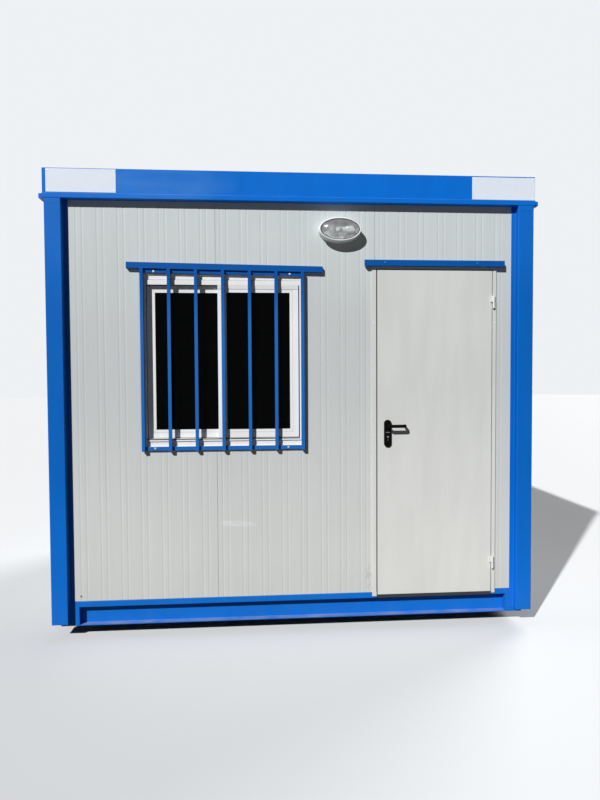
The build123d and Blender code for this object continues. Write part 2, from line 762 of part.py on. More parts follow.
def hinge_half_on_leaf(middle):
    """Upper knuckle, bored for the pin, on a plate that is packed off the leaf's face."""
    low = middle + HINGE_SPLIT / 2
    height = HINGE_HEIGHT / 2 - HINGE_SPLIT / 2
    knuckle = Pos(HINGE_X, -HINGE_AXIS_PROUD, low) * extrude(Circle(HINGE_RADIUS), amount=height)
    packing_front = -LEAF_PROUD - HINGE_PACKING
    plate_front = packing_front - HINGE_PLATE
    plate_left = LEAF_RIGHT - HINGE_PLATE_LAP
    plate = block(plate_left, HINGE_X, plate_front, packing_front, low, low + height)
    plate += block(plate_left, LEAF_RIGHT, packing_front, -LEAF_PROUD, low, low + height)
    bore_radius = HINGE_PIN_RADIUS + HINGE_PIN_CLEARANCE
    bore_depth = HINGE_PIN_LENGTH - HINGE_SPLIT + HINGE_BORE_EXTRA
    bore = Pos(HINGE_X, -HINGE_AXIS_PROUD, low) * extrude(Circle(bore_radius), amount=bore_depth)
    return knuckle + plate - bore


NODES["door_leaf"] = on_front(door_leaf())
NODES["hinge_halves_frame"] = Compound(
    [on_front(hinge_half_on_frame(spot)) for spot in HINGE_SPOTS]
)
NODES["hinge_halves_leaf"] = Compound([on_front(hinge_half_on_leaf(spot)) for spot in HINGE_SPOTS])


# Lever set, drawn outside the leaf and mirrored to the inside
def handle_plate():
    """Long plate with round ends and the lock cylinder's end, standing on the leaf's face."""
    slot = SlotOverall(HANDLE_PLATE_HEIGHT, HANDLE_PLATE_WIDTH, rotation=90)
    drop = HANDLE_PLATE_HEIGHT / 2 - HANDLE_PLATE_ABOVE
    plate = extrude(Pos(0, -drop) * slot, amount=HANDLE_PLATE_THICKNESS)
    lock = extrude(Circle(LOCK_RADIUS), amount=HANDLE_PLATE_THICKNESS + LOCK_PROUD)
    plate += Pos(0, -LOCK_BELOW_SPINDLE) * lock
    hole = extrude(Circle(NECK_RADIUS + SPINDLE_CLEARANCE), amount=HANDLE_PLATE_THICKNESS)
    return plate - hole


def lever():
    """Neck, bar and returned end of one lever, from the leaf's face outward."""
    reach = HANDLE_PLATE_THICKNESS + LEVER_STANDOFF
    neck = extrude(Circle(NECK_RADIUS), amount=reach + LEVER_THICKNESS / 2)
    outline = Pos(LEVER_LENGTH / 2 - LEVER_HEIGHT / 4, 0) * RectangleRounded(
        LEVER_LENGTH + LEVER_HEIGHT / 2, LEVER_HEIGHT, LEVER_CORNER
    )
    bar = Pos(0, 0, reach) * extrude(outline, amount=LEVER_THICKNESS)
    tip = Pos(LEVER_LENGTH - LEVER_THICKNESS / 2, 0) * RectangleRounded(
        LEVER_THICKNESS, LEVER_HEIGHT, LEVER_CORNER
    )
    end = Pos(0, 0, reach - LEVER_RETURN) * extrude(tip, amount=LEVER_RETURN + LEVER_CORNER)
    return neck + bar + end


def outside(piece):
    """Stand a piece drawn in X and Y on the leaf's outer face, at the spindle."""
    return Pos(HANDLE_X, -LEAF_PROUD, HANDLE_HEIGHT) * Rot(90, 0, 0) * piece


def inside(piece):
    """The same piece mirrored to the leaf's inner face."""
    middle = Plane(origin=(0, LEAF_INSIDE - LEAF_THICKNESS / 2, 0), z_dir=(0, 1, 0))
    return mirror(outside(piece), about=middle)


spindle = Pos(HANDLE_X, LEAF_INSIDE - LEAF_THICKNESS / 2, HANDLE_HEIGHT) * Rot(90, 0, 0) * Cylinder(
    SPINDLE_RADIUS, LEAF_THICKNESS
)
NODES["handle_plates"] = Compound([on_front(outside(handle_plate())), on_front(inside(handle_plate()))])
NODES["lever_handles"] = on_front(outside(lever()) + spindle + inside(lever()))


# Oval bulkhead lamp
def oval(half_width, half_height, level):
    """Many-sided oval at a distance from the wall."""
    corners = []
    for index in range(LAMP_OVAL_SIDES):
        turn = 2 * math.pi * index / LAMP_OVAL_SIDES
        corners.append((half_width * math.cos(turn), half_height * math.sin(turn)))
    return Pos(0, 0, level) * Polygon(*corners, align=None)


def lamp_body():
    """Tapered oval housing with a wider ring at its front."""
    half_width = LAMP_WIDTH / 2
    half_height = LAMP_HEIGHT / 2
    sections = []
    for inset, level in ((LAMP_BODY_TAPER, 0), (LAMP_RING_LIP, LAMP_BODY_DEPTH)):
        sections.append(oval(half_width - inset, half_height - inset, level))
    ring = extrude(oval(half_width, half_height, LAMP_BODY_DEPTH), amount=LAMP_RING_DEPTH)
    return loft(sections, ruled=True) + ring


def lamp_glass():
    """Shallow oval dome seated on the ring, in steps of its rise."""
    half_width = LAMP_WIDTH / 2 - LAMP_RING_FACE
    half_height = LAMP_HEIGHT / 2 - LAMP_RING_FACE
    foot_level = LAMP_BODY_DEPTH + LAMP_RING_DEPTH
    sections = []
    for step in range(LAMP_DOME_STEPS + 1):
        shrink = math.sqrt(1 - (step / (LAMP_DOME_STEPS + 1)) ** 2)
        level = foot_level + LAMP_DOME_DEPTH * step / LAMP_DOME_STEPS
        sections.append(oval(half_width * shrink, half_height * shrink, level))
    return loft(sections, ruled=True)


def at_lamp(piece):
    return on_front(Pos(LAMP_CENTRE_X, 0, LAMP_CENTRE_Z) * Rot(90, 0, 0) * piece)


NODES["lamp_body"] = at_lamp(lamp_body())
NODES["lamp_glass"] = at_lamp(lamp_glass())

os.makedirs("parts", exist_ok=True)
for node, shape in NODES.items():
    export_step(shape, "parts/" + node + ".step")
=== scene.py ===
import math

import bmesh
import bpy
from mathutils import Matrix, Vector


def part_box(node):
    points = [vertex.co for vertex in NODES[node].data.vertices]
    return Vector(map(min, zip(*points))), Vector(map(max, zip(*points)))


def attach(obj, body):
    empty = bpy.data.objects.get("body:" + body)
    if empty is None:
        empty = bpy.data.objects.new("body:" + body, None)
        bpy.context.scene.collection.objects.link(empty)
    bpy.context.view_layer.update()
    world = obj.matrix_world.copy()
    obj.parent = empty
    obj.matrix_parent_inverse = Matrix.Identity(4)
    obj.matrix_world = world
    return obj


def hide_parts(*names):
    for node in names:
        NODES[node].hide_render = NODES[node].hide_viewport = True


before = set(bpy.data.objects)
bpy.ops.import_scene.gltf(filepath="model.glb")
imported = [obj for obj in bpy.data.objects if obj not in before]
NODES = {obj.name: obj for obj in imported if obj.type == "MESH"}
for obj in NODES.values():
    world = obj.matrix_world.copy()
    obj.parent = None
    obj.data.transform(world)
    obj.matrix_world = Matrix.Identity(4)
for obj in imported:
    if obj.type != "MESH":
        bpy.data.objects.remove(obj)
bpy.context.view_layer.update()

MM = 0.001
PANEL_MODULE = 1.0

# Directions that faces look in
TO_FRONT, TO_BACK = (0, -1, 0), (0, 1, 0)
TO_LEFT, TO_RIGHT = (-1, 0, 0), (1, 0, 0)
UPWARD = (0, 0, 1)

# Planes and places read from the frame
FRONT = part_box("wall_front_left")[0].y
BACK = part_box("wall_back_left")[1].y
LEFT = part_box("wall_left_middle")[0].x
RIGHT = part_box("wall_right_middle")[1].x
RAIL_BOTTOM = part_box("base_rail_front")[0].z
RAIL_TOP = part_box("base_rail_front")[1].z
WALL_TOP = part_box("wall_front_left")[1].z
FASCIA_LOW, FASCIA_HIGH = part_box("fascia_front")

# Camera, at the photograph's viewpoint
CAMERA_YAW = 0.0736785
CAMERA_PITCH = 0.033877
CAMERA_ROLL = -0.005218
CAMERA_X = -0.2573
CAMERA_FROM_WALL = 3.7808
CAMERA_HEIGHT = 1.593
FOCAL_PIXELS = 601
FRAME_HEIGHT_PIXELS = 800
SENSOR_MM = 36


def make_camera():
    ahead = Vector((math.sin(CAMERA_YAW), math.cos(CAMERA_YAW), 0))
    side = Vector((math.cos(CAMERA_YAW), -math.sin(CAMERA_YAW), 0))
    up = Vector((0, 0, 1))
    forward = ahead * math.cos(CAMERA_PITCH) - up * math.sin(CAMERA_PITCH)
    over = up * math.cos(CAMERA_PITCH) + ahead * math.sin(CAMERA_PITCH)
    right = side * math.cos(CAMERA_ROLL) + over * math.sin(CAMERA_ROLL)
    top = over * math.cos(CAMERA_ROLL) - side * math.sin(CAMERA_ROLL)
    data = bpy.data.cameras.new("camera")
    data.sensor_width = SENSOR_MM
    data.lens = FOCAL_PIXELS / FRAME_HEIGHT_PIXELS * SENSOR_MM
    data.clip_end = 200
    camera = bpy.data.objects.new("camera", data)
    turn = Matrix((right, top, -forward)).transposed().to_4x4()
    place = Matrix.Translation((CAMERA_X, FRONT - CAMERA_FROM_WALL, CAMERA_HEIGHT))
    camera.matrix_world = place @ turn
    bpy.context.scene.collection.objects.link(camera)
    bpy.context.scene.camera = camera


make_camera()


# Light
FILL_COLOUR, FILL_STRENGTH = (0.76, 0.92, 1.0, 1), 0.027
BACKDROP_COLOUR, BACKDROP_STRENGTH = (0.86, 0.88, 0.9, 1), 1.0


def make_sun(name, towards, strength, angle):
    data = bpy.data.lights.new(name, "SUN")
    data.energy = strength
    data.angle = math.radians(angle)
    lamp = bpy.data.objects.new(name, data)
    lamp.rotation_euler = Vector(towards).to_track_quat("Z", "Y").to_euler()
    bpy.context.scene.collection.objects.link(lamp)


def make_world():
    """A faint sky for the object, and a pale backdrop where the camera, gloss or glass sees it."""
    world = bpy.data.worlds.new("studio")
    bpy.context.scene.world = world
    world.use_nodes = True
    nodes, links = world.node_tree.nodes, world.node_tree.links
    nodes.clear()
    output = nodes.new("ShaderNodeOutputWorld")
    mix = nodes.new("ShaderNodeMixShader")
    fill = nodes.new("ShaderNodeBackground")
    fill.inputs["Color"].default_value = FILL_COLOUR
    fill.inputs["Strength"].default_value = FILL_STRENGTH
    seen = nodes.new("ShaderNodeBackground")
    seen.inputs["Color"].default_value = BACKDROP_COLOUR
    seen.inputs["Strength"].default_value = BACKDROP_STRENGTH
    path = nodes.new("ShaderNodeLightPath")
    factor = path.outputs["Is Camera Ray"]
    for ray in ("Is Glossy Ray", "Is Transmission Ray"):
        either = nodes.new("ShaderNodeMath")
        either.operation = "MAXIMUM"
        links.new(factor, either.inputs[0])
        links.new(path.outputs[ray], either.inputs[1])
        factor = either.outputs[0]
    links.new(factor, mix.inputs[0])
    links.new(fill.outputs[0], mix.inputs[1])
    links.new(seen.outputs[0], mix.inputs[2])
    links.new(mix.outputs[0], output.inputs[0])


make_sun("key_sun", towards=(-0.74, -1.0, 0.93), strength=4.55, angle=1.2)
make_sun("back_sun", towards=(0.8, 0.9, 0.7), strength=2.2, angle=30)
make_world()

# Materials
# Sockets of a Mix node that mixes colours
MIX_FACTOR, MIX_UNDER, MIX_OVER, MIX_RESULT = 0, 6, 7, 2
DUST = (0.42, 0.39, 0.35)


class Paint:
    """A procedural material built around one principled shader, placed by object coordinates."""

    def __init__(self, name, colour, roughness, metallic=0.0, specular=0.5):
        self.material = bpy.data.materials.new(name)
        self.material.use_nodes = True
        self.tree = self.material.node_tree
        self.tree.nodes.clear()
        output = self.add("ShaderNodeOutputMaterial")
        self.shader = self.add("ShaderNodeBsdfPrincipled")
        self.tree.links.new(self.shader.outputs[0], output.inputs[0])
        self.shader.inputs["Metallic"].default_value = metallic
        self.shader.inputs["Specular IOR Level"].default_value = specular
        self.place = self.add("ShaderNodeTexCoord").outputs["Object"]
        self.rough = roughness
        self.normal = None
        rgb = self.add("ShaderNodeRGB")
        rgb.outputs[0].default_value = (*colour, 1)
        self.colour = rgb.outputs[0]

    def add(self, kind, **settings):
        node = self.tree.nodes.new(kind)
        for key, value in settings.items():
            setattr(node, key, value)
        return node

    def feed(self, socket, value):
        """Link another socket, or set a plain value."""
        if isinstance(value, bpy.types.NodeSocket):
            self.tree.links.new(value, socket)
        elif socket.type == "RGBA" and len(value) == 3:
            socket.default_value = (*value, 1)
        else:
            socket.default_value = value

    def maths(self, operation, first, second=0.0):
        node = self.add("ShaderNodeMath", operation=operation)
        self.feed(node.inputs[0], first)
        self.feed(node.inputs[1], second)
        return node.outputs[0]

    def span(self, value, low, high, to_low=0.0, to_high=1.0):
        """Map a value from one range to another, held at both ends."""
        node = self.add("ShaderNodeMapRange")
        for socket, number in zip(node.inputs, (value, low, high, to_low, to_high)):
            self.feed(socket, number)
        return node.outputs[0]

    def noise(self, scale, detail=2.0, stretch=(1, 1, 1), roughness=0.5):
        mapping = self.add("ShaderNodeMapping")
        self.feed(mapping.inputs["Vector"], self.place)
        mapping.inputs["Scale"].default_value = stretch
        node = self.add("ShaderNodeTexNoise")
        self.feed(node.inputs["Vector"], mapping.outputs[0])
        node.inputs["Scale"].default_value = scale
        node.inputs["Detail"].default_value = detail
        node.inputs["Roughness"].default_value = roughness
        return node.outputs["Fac"]

    def axis(self, letter):
        """Place along one axis of the frame, in metres."""
        node = self.add("ShaderNodeSeparateXYZ")
        self.feed(node.inputs[0], self.place)
        return node.outputs[letter]

    def facing_up(self):
        geometry = self.add("ShaderNodeNewGeometry")
        node = self.add("ShaderNodeSeparateXYZ")
        self.feed(node.inputs[0], geometry.outputs["Normal"])
        return node.outputs["Z"]

    def blend(self, factor, colour):
        """Lay a colour over what is there, by a factor."""
        node = self.add("ShaderNodeMix", data_type="RGBA")
        self.feed(node.inputs[MIX_FACTOR], factor)
        self.feed(node.inputs[MIX_UNDER], self.colour)
        self.feed(node.inputs[MIX_OVER], colour)
        self.colour = node.outputs[MIX_RESULT]
        return self

    def fade(self, start, end, colour):
        """Turn to a colour between two heights, and keep it past the second."""
        return self.blend(self.span(self.axis("Z"), start, end), colour)

    def vary(self, amount, scale, stretch=(1, 1, 1), detail=2.0):
        """Lighten and darken by a share of the colour."""
        factor = self.span(self.noise(scale, detail, stretch), 0.3, 0.7, 1 - amount, 1 + amount)
        node = self.add("ShaderNodeVectorMath", operation="SCALE")
        self.feed(node.inputs[0], self.colour)
        self.feed(node.inputs["Scale"], factor)
        self.colour = node.outputs[0]
        return self

    def dust(self, up=0.45, low=0.3, reach=0.35):
        """Dust on what faces up, and splashes that fade out at a reach above the ground."""
        patch = self.span(self.noise(9.0, 5.0), 0.35, 0.7, 0.35, 1.0)
        lying = self.span(self.facing_up(), 0.55, 0.95, 0.0, up)
        splash = self.span(self.axis("Z"), reach, RAIL_BOTTOM, 0.0, low)
        total = self.maths("MULTIPLY", self.maths("MAXIMUM", lying, splash), patch)
        return self.blend(total, DUST)

    def bump(self, height, distance):
        node = self.add("ShaderNodeBump")
        node.inputs["Strength"].default_value = 1.0
        node.inputs["Distance"].default_value = distance
        self.feed(node.inputs["Height"], height)
        if self.normal is not None:
            self.feed(node.inputs["Normal"], self.normal)
        self.normal = node.outputs[0]
        return self

    def soft_edges(self, radius):
        node = self.add("ShaderNodeBevel", samples=4)
        node.inputs["Radius"].default_value = radius
        self.normal = node.outputs[0]
        return self

    def near(self, middle, half, tilt=0.0, hardness=2.0):
        """One at a place on the front (x, z), falling to zero at half a width and half a height."""
        across = self.maths("SUBTRACT", self.axis("X"), middle[0])
        above = self.maths("SUBTRACT", self.axis("Z"), middle[1])
        above = self.maths("ADD", above, self.maths("MULTIPLY", across, tilt))
        reach = 0.0
        for distance, size in ((across, half[0]), (above, half[1])):
            share = self.maths("ABSOLUTE", self.maths("DIVIDE", distance, size))
            reach = self.maths("ADD", self.maths("POWER", share, hardness), reach)
        return self.span(reach, 1.0, 0.3)

    def done(self, rough_change=0.06, rough_scale=6.0):
        low, high = self.rough - rough_change, self.rough + rough_change
        self.feed(
            self.shader.inputs["Roughness"],
            self.span(self.noise(rough_scale, 4.0), 0.3, 0.7, low, high),
        )
        self.feed(self.shader.inputs["Base Color"], self.colour)
        if self.normal is not None:
            self.feed(self.shader.inputs["Normal"], self.normal)
        return self.material


def steel_paint(name, colour, edge=0.0, specular=0.15, fades=(), painted_sheen=False, **dusting):
    """Sprayed gloss paint on steel, with a faint orange peel. Each fade is (start, end, colour)."""
    paint = Paint(name, colour, 0.38, specular=specular)
    if edge:
        paint.soft_edges(edge)
    for fade in fades:
        paint.fade(*fade)
    # Painted sheen, where asked for
    if painted_sheen:
        add_painted_sheen(paint)
    paint.vary(0.05, 1.1).vary(0.03, 14.0, (1, 1, 0.15), 4.0)
    paint.dust(**dusting)
    paint.bump(paint.noise(420.0, 2.0), 0.00012)
    paint.bump(paint.noise(4.0, 2.0), 0.0012)
    return paint.done()


def panel_paint(name, marked=False):
    """Coil-coated cladding with painted light, paler and warmer towards the ground and bluer under
    the roof, and faint runs of dirt.
    """
    paint = Paint(name, (0.516, 0.539, 0.537), 0.46, specular=0.15)
    # Painted light: paler towards the ground, bluer under the roof
    paint.fade(1.55, 0.5, (0.592, 0.602, 0.588))
    paint.fade(1.95, 2.5, (0.556, 0.598, 0.6))
    paint.vary(0.025, 0.9)
    paint.vary(0.02, 3.0, (9, 9, 0.35), 5.0)
    runs = paint.span(paint.noise(2.2, 4.0, (14, 14, 0.5)), 0.62, 0.8, 0.0, 0.1)
    paint.blend(runs, (0.33, 0.34, 0.32))
    if marked:
        add_marks(paint)
    paint.dust(up=0.2, low=0.16, reach=0.45)
    paint.bump(paint.noise(2.6, 2.0), 0.0016)
    paint.bump(paint.noise(520.0, 1.0), 0.00005)
    return paint.done(0.05, 5.0)


def add_marks(paint):
    """Wiped smear beside the panel joint and scuffs at the foot of the door frame."""
    streaks = paint.span(paint.noise(40.0, 3.0, (0.3, 1, 2)), 0.35, 0.65, 0.08, 0.32)
    smear = paint.near((-0.368, 0.688), (0.118, 0.019), tilt=0.06, hardness=4.0)
    paint.blend(paint.maths("MULTIPLY", smear, streaks), (0.86, 0.88, 0.88))
    specks = paint.span(paint.noise(90.0, 4.0, (1, 1, 0.7), 0.7), 0.5, 0.62, 0.0, 0.5)
    scuffs = paint.near((0.466, 0.318), (0.032, 0.1))
    paint.blend(paint.maths("MULTIPLY", scuffs, specks), (0.27, 0.26, 0.25))


def add_painted_sheen(paint):
    """Painted sheen: a paler, milkier blue over the fascia's left third."""
    streaks = paint.span(paint.noise(5.0, 3.0, (0.5, 1, 3)), 0.3, 0.7, 0.25, 0.75)
    sheen_mask = paint.near((-0.84, 2.785), (0.5, 0.13))
    paint.blend(paint.maths("MULTIPLY", sheen_mask, streaks), (0.045, 0.205, 0.62))


def moulded(name, colour, roughness, grain=900.0, edge=0.0, specular=0.3, mottle=0.05):
    """Moulded plastic or rubber with a fine grain."""
    paint = Paint(name, colour, roughness, specular=specular)
    if edge:
        paint.soft_edges(edge)
    paint.vary(mottle, 30.0)
    paint.bump(paint.noise(grain, 2.0), 0.00008)
    return paint.done()


def bare_metal(name, colour, roughness, grain=(1, 1, 1)):
    paint = Paint(name, colour, roughness, metallic=1.0)
    paint.vary(0.08, 60.0, grain, 4.0)
    paint.bump(paint.noise(300.0, 3.0, grain), 0.00005)
    return paint.done(0.08, 40.0)


def window_glass_material():
    # Painted shade: the glass is nearly black and passes little light, standing in for the dark
    # room behind it
    paint = Paint("window_glass", (0.004, 0.005, 0.007), 0.03, specular=0.2)
    paint.shader.inputs["Transmission Weight"].default_value = 0.9
    paint.shader.inputs["IOR"].default_value = 1.1
    smudge = paint.span(paint.noise(7.0, 5.0), 0.6, 0.8, 0.0, 0.02)
    paint.blend(smudge, (0.3, 0.32, 0.33))
    paint.bump(paint.noise(1.6, 1.0), 0.0004)
    return paint.done(0.02, 9.0)


def reflector_material():
    """Dull pressed reflector with painted highlights in cloudy patches, and a painted reflection
    that darkens its head.
    """
    paint = Paint("reflector", (0.4, 0.408, 0.425), 0.35, specular=0.3)
    # Painted highlights: bright cloudy patches
    painted_highlights = paint.span(paint.noise(21.0, 3.0, (1, 1, 1.4)), 0.44, 0.58)
    paint.blend(painted_highlights, (0.9, 0.91, 0.9))
    # Painted reflection: a darker head
    paint.blend(paint.span(paint.axis("Z"), 2.54, 2.565, 0.0, 0.8), (0.17, 0.165, 0.17))
    paint.bump(paint.noise(70.0, 3.0), 0.001)
    return paint.done(0.08, 20.0)


def lamp_glass_material():
    paint = Paint("lamp_glass", (0.86, 0.88, 0.88), 0.1)
    paint.shader.inputs["Transmission Weight"].default_value = 0.94
    paint.shader.inputs["IOR"].default_value = 1.49
    paint.vary(0.08, 24.0)
    paint.bump(paint.noise(90.0, 2.0), 0.0004)
    return paint.done(0.06, 30.0)


def deck_material():
    """Phenolic-faced floor board with scuffs."""
    paint = Paint("deck_board", (0.2, 0.13, 0.075), 0.55)
    paint.vary(0.2, 5.0, (0.6, 7, 1), 5.0)
    paint.vary(0.08, 40.0, (1, 6, 1), 3.0)
    scuff = paint.span(paint.noise(6.0, 6.0), 0.62, 0.75, 0.0, 0.4)
    paint.blend(scuff, (0.33, 0.3, 0.26))
    paint.bump(paint.noise(160.0, 3.0), 0.0002)
    return paint.done(0.1, 5.0)


def under_steel_material():
    """Dark primer with rust blooms on the hidden steel."""
    paint = Paint("under_steel", (0.035, 0.036, 0.04), 0.6)
    paint.vary(0.25, 4.0)
    bloom = paint.span(paint.noise(11.0, 6.0, (1, 1, 1), 0.65), 0.6, 0.72, 0.0, 0.8)
    paint.blend(bloom, (0.16, 0.055, 0.02))
    paint.bump(paint.noise(120.0, 4.0), 0.0004)
    return paint.done(0.12, 8.0)


BLUE_GLOSS = 0.13
MATERIALS = {
    # Painted light: the posts are lighter towards the ground and again in their upper part
    "frame_blue": steel_paint(
        "frame_blue", (0.001, 0.111, 0.45), specular=BLUE_GLOSS, low=0.02,
        fades=((1.0, 0.25, (0.004, 0.143, 0.585)), (2.1, 2.35, (0.004, 0.128, 0.51))),
    ),
    # Painted sheen over the fascia's left third
    "fascia_blue": steel_paint(
        "fascia_blue", (0.0015, 0.14, 0.585), specular=BLUE_GLOSS, painted_sheen=True, up=0.3, low=0.0
    ),
    "trim_blue": steel_paint(
        "trim_blue", (0.001, 0.08, 0.335), edge=0.0015, specular=BLUE_GLOSS, up=0.25, low=0.0
    ),
    "screw_blue": steel_paint("screw_blue", (0.02, 0.22, 0.62), specular=BLUE_GLOSS, low=0.0),
    # Painted light: the bars are lighter lower down and darker at the top, under the cap
    "bar_blue": steel_paint(
        "bar_blue", (0.001, 0.082, 0.34), edge=0.0015, specular=BLUE_GLOSS, up=0.25, low=0.0,
        fades=((2.22, 1.95, (0.014, 0.125, 0.42)),),
    ),
    "base_blue": steel_paint(
        "base_blue", (0.002, 0.142, 0.56), specular=BLUE_GLOSS, up=0.55, low=0.025
    ),
    "panel_grey": panel_paint("panel_grey"),
    "panel_marked": panel_paint("panel_marked", marked=True),
    "window_white": steel_paint(
        "window_white", (0.765, 0.767, 0.76), edge=0.0012, up=0.12, low=0.0
    ),
    # Painted light: the door is paler and warmer towards the ground
    "door_pale": steel_paint(
        "door_pale", (0.596, 0.606, 0.592), edge=0.0012, up=0.1, low=0.05,
        fades=((1.7, 0.35, (0.66, 0.662, 0.638)),),
    ),
    "hinge_white": steel_paint("hinge_white", (0.655, 0.665, 0.65), edge=0.0008, up=0.1, low=0.0),
    "lamp_grey": moulded("lamp_grey", (0.84, 0.86, 0.84), 0.4),
    "handle_black": moulded(
        "handle_black", (0.002, 0.002, 0.0024), 0.36, edge=0.0012, specular=0.04
    ),
    # Black for real seals, gaskets and seams, and for the painted shade in gaps and the keyhole
    "black_seal_and_shade": moulded("black_seal_and_shade", (0.006, 0.006, 0.007), 0.6, specular=0.1),
    "joint_grey": moulded("joint_grey", (0.2, 0.2, 0.2), 0.6, specular=0.1),
    "reflector": reflector_material(),
    "plate_white": moulded("plate_white", (0.7, 0.755, 0.84), 0.32, grain=500.0, mottle=0.012),
    "sealant": moulded("sealant", (0.66, 0.67, 0.66), 0.45, grain=300.0),
    "bulb_white": moulded("bulb_white", (0.85, 0.86, 0.84), 0.3, grain=200.0),
    "zinc": bare_metal("zinc", (0.66, 0.67, 0.68), 0.34),
    "threshold_metal": bare_metal("threshold_metal", (0.055, 0.056, 0.06), 0.5, grain=(0.05, 1, 1)),
    "lock_steel": bare_metal("lock_steel", (0.2, 0.2, 0.2), 0.35),
    "window_glass": window_glass_material(),
    "lamp_glass": lamp_glass_material(),
    "deck_board": deck_material(),
    "under_steel": under_steel_material(),
}

# Which material the CAD nodes wear, by the start of their names. A later line wins.
NODE_MATERIALS = {
    "frame_blue": ["post_"],
    "base_blue": ["base_"],
    "fascia_blue": ["fascia_"],
    "trim_blue": ["window_cap", "door_cap"],
    "bar_blue": ["window_grille"],
    "panel_grey": ["wall_", "roof_panel_"],
    "panel_marked": ["wall_front_left", "wall_front_centre"],
    "window_white": ["window_frame", "sash_"],
    "window_glass": ["glass_"],
    "door_pale": ["door_leaf", "door_frame"],
    "hinge_white": ["hinge_halves"],
    "threshold_metal": ["door_threshold"],
    "handle_black": ["handle_plates"],
    "deck_board": ["floor_deck"],
    "under_steel": ["floor_joists", "feet"],
}


def dress_nodes():
    for material, starts in NODE_MATERIALS.items():
        for name, node in NODES.items():
            if name.startswith(tuple(starts)):
                node.data.materials.clear()
                node.data.materials.append(MATERIALS[material])


dress_nodes()


# Mesh building
def piece(name, mesh, material, body="cabin", smooth=False):
    """Finish a mesh as an object that wears a material and rides on a body."""
    bmesh.ops.recalc_face_normals(mesh, faces=mesh.faces)
    data = bpy.data.meshes.new(name)
    mesh.to_mesh(data)
    mesh.free()
    data.materials.append(MATERIALS[material])
    for polygon in data.polygons:
        polygon.use_smooth = smooth
    made = bpy.data.objects.new(name, data)
    bpy.context.scene.collection.objects.link(made)
    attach(made, body)
    return made


def add_rings(mesh, rings, closed_start=True, closed_end=True):
    """Skin between rings of points, capped at both ends."""
    loops = [[mesh.verts.new(point) for point in ring] for ring in rings]
    for first, second in zip(loops, loops[1:]):
        count = len(first)
        for index in range(count):
            after = (index + 1) % count
            mesh.faces.new((first[index], first[after], second[after], second[index]))
    if closed_start:
        mesh.faces.new(reversed(loops[0]))
    if closed_end:
        mesh.faces.new(loops[-1])


def add_block(mesh, low, high, chamfer=0.0):
    """Box between two corners with chamfered edges."""
    low, high = Vector(low), Vector(high)
    box = bmesh.new()
    bmesh.ops.create_cube(box, size=1.0)
    for vert in box.verts:
        vert.co = Vector(
            (low[i] + (vert.co[i] + 0.5) * (high[i] - low[i])) for i in range(3)
        )
    if chamfer:
        bmesh.ops.bevel(
            box, geom=list(box.edges), offset=chamfer, segments=2, profile=0.6, affect="EDGES"
        )
    data = bpy.data.meshes.new("block")
    box.to_mesh(data)
    box.free()
    mesh.from_mesh(data)
    bpy.data.meshes.remove(data)


def add_turned(mesh, profile, centre, axis, count=24, spin=0.0):
    """Rings of (radius, rise) about an axis, standing on a centre."""
    turn = Vector(axis).to_track_quat("Z", "Y").to_matrix()
    rings = []
    for radius, rise in profile:
        ring = []
        for index in range(count):
            angle = spin + 2 * math.pi * index / count
            local = Vector((radius * math.cos(angle), radius * math.sin(angle), rise))
            ring.append(Vector(centre) + turn @ local)
        rings.append(ring)
    add_rings(mesh, rings)


SCREW_WASHER = [(0.0062, 0.0), (0.0066, 0.0004), (0.006, 0.0012), (0.0042, 0.0014)]
SCREW_HEXAGON = [(0.0042, 0.0012), (0.0042, 0.0038), (0.0036, 0.0044), (0.002, 0.0045)]


def add_screw(mesh, centre, axis, size=1.0, spin=0.0):
    """Hexagon washer-head screw."""
    washer = [(radius * size, rise * size) for radius, rise in SCREW_WASHER]
    hexagon = [(radius * size, rise * size) for radius, rise in SCREW_HEXAGON]
    add_turned(mesh, washer, centre, axis, count=20)
    add_turned(mesh, hexagon, centre, axis, count=6, spin=spin)


# Bare plates on the front fascia
PLATE_HEIGHT = 0.14
PLATE_THICKNESS = 0.0025
# Side, left edge, right edge, and how far below the fascia's top it starts
PLATES = (("left", -1.502, -1.089, 0.005), ("right", 1.1145, 1.5225, 0.008))
FASCIA_BAND_PROUD = 0.008
RIVET_INSET = 0.012
RIVET = [(0.0035, 0.0), (0.0034, 0.0007), (0.0026, 0.0016), (0.001, 0.002)]


def make_plates():
    back = FASCIA_LOW.y + FASCIA_BAND_PROUD
    face = back - PLATE_THICKNESS
    for side, left, right, drop in PLATES:
        high = FASCIA_HIGH.z - drop
        low = high - PLATE_HEIGHT
        mesh = bmesh.new()
        add_block(mesh, (left, face, low), (right, back, high), chamfer=0.0007)
        piece(f"plate_{side}", mesh, "plate_white")
        mesh = bmesh.new()
        for x in (left + RIVET_INSET, right - RIVET_INSET):
            for z in (low + RIVET_INSET, high - RIVET_INSET):
                add_turned(mesh, RIVET, (x, face, z), TO_FRONT, count=16)
        piece(f"plate_rivets_{side}", mesh, "zinc", smooth=True)


make_plates()

# Screws that show on the front, and their likes on the other walls and the roof
GRILLE_RAIL_PROUD = 0.014
GRILLE_SCREWS = ((-0.877, 2.262), (-0.04, 2.252), (-0.88, 1.172), (-0.054, 1.171))
CAP_SCREWS_X, CAP_SCREWS_Z = (0.56, 1.153), 2.326
JAMB_SCREWS_X, JAMB_SCREWS_Z = (0.493, 1.277), (0.5, 1.232, 1.95)
JAMB_SCREW = [(0.0038, 0), (0.0036, 0.0006), (0.002, 0.0014)]
WALL_SCREW_RISE = 0.03
WALL_SCREW_SIZE = 0.9
FRONT_SCREW_X = -1.347
BACK_SCREWS_X = (-1.3, -0.75, -0.25, 0.25, 0.75, 1.3)
SIDE_SCREWS_Y = (-0.9, -0.3, 0.32, 0.92)
ROOF_RIB_PITCH = 0.25
ROOF_SCREW_INSET = 0.12
ROOF_WASHER = [(0.0095, 0), (0.0095, 0.0015), (0.008, 0.0024)]
ROOF_SCREW_RISE = 0.0022


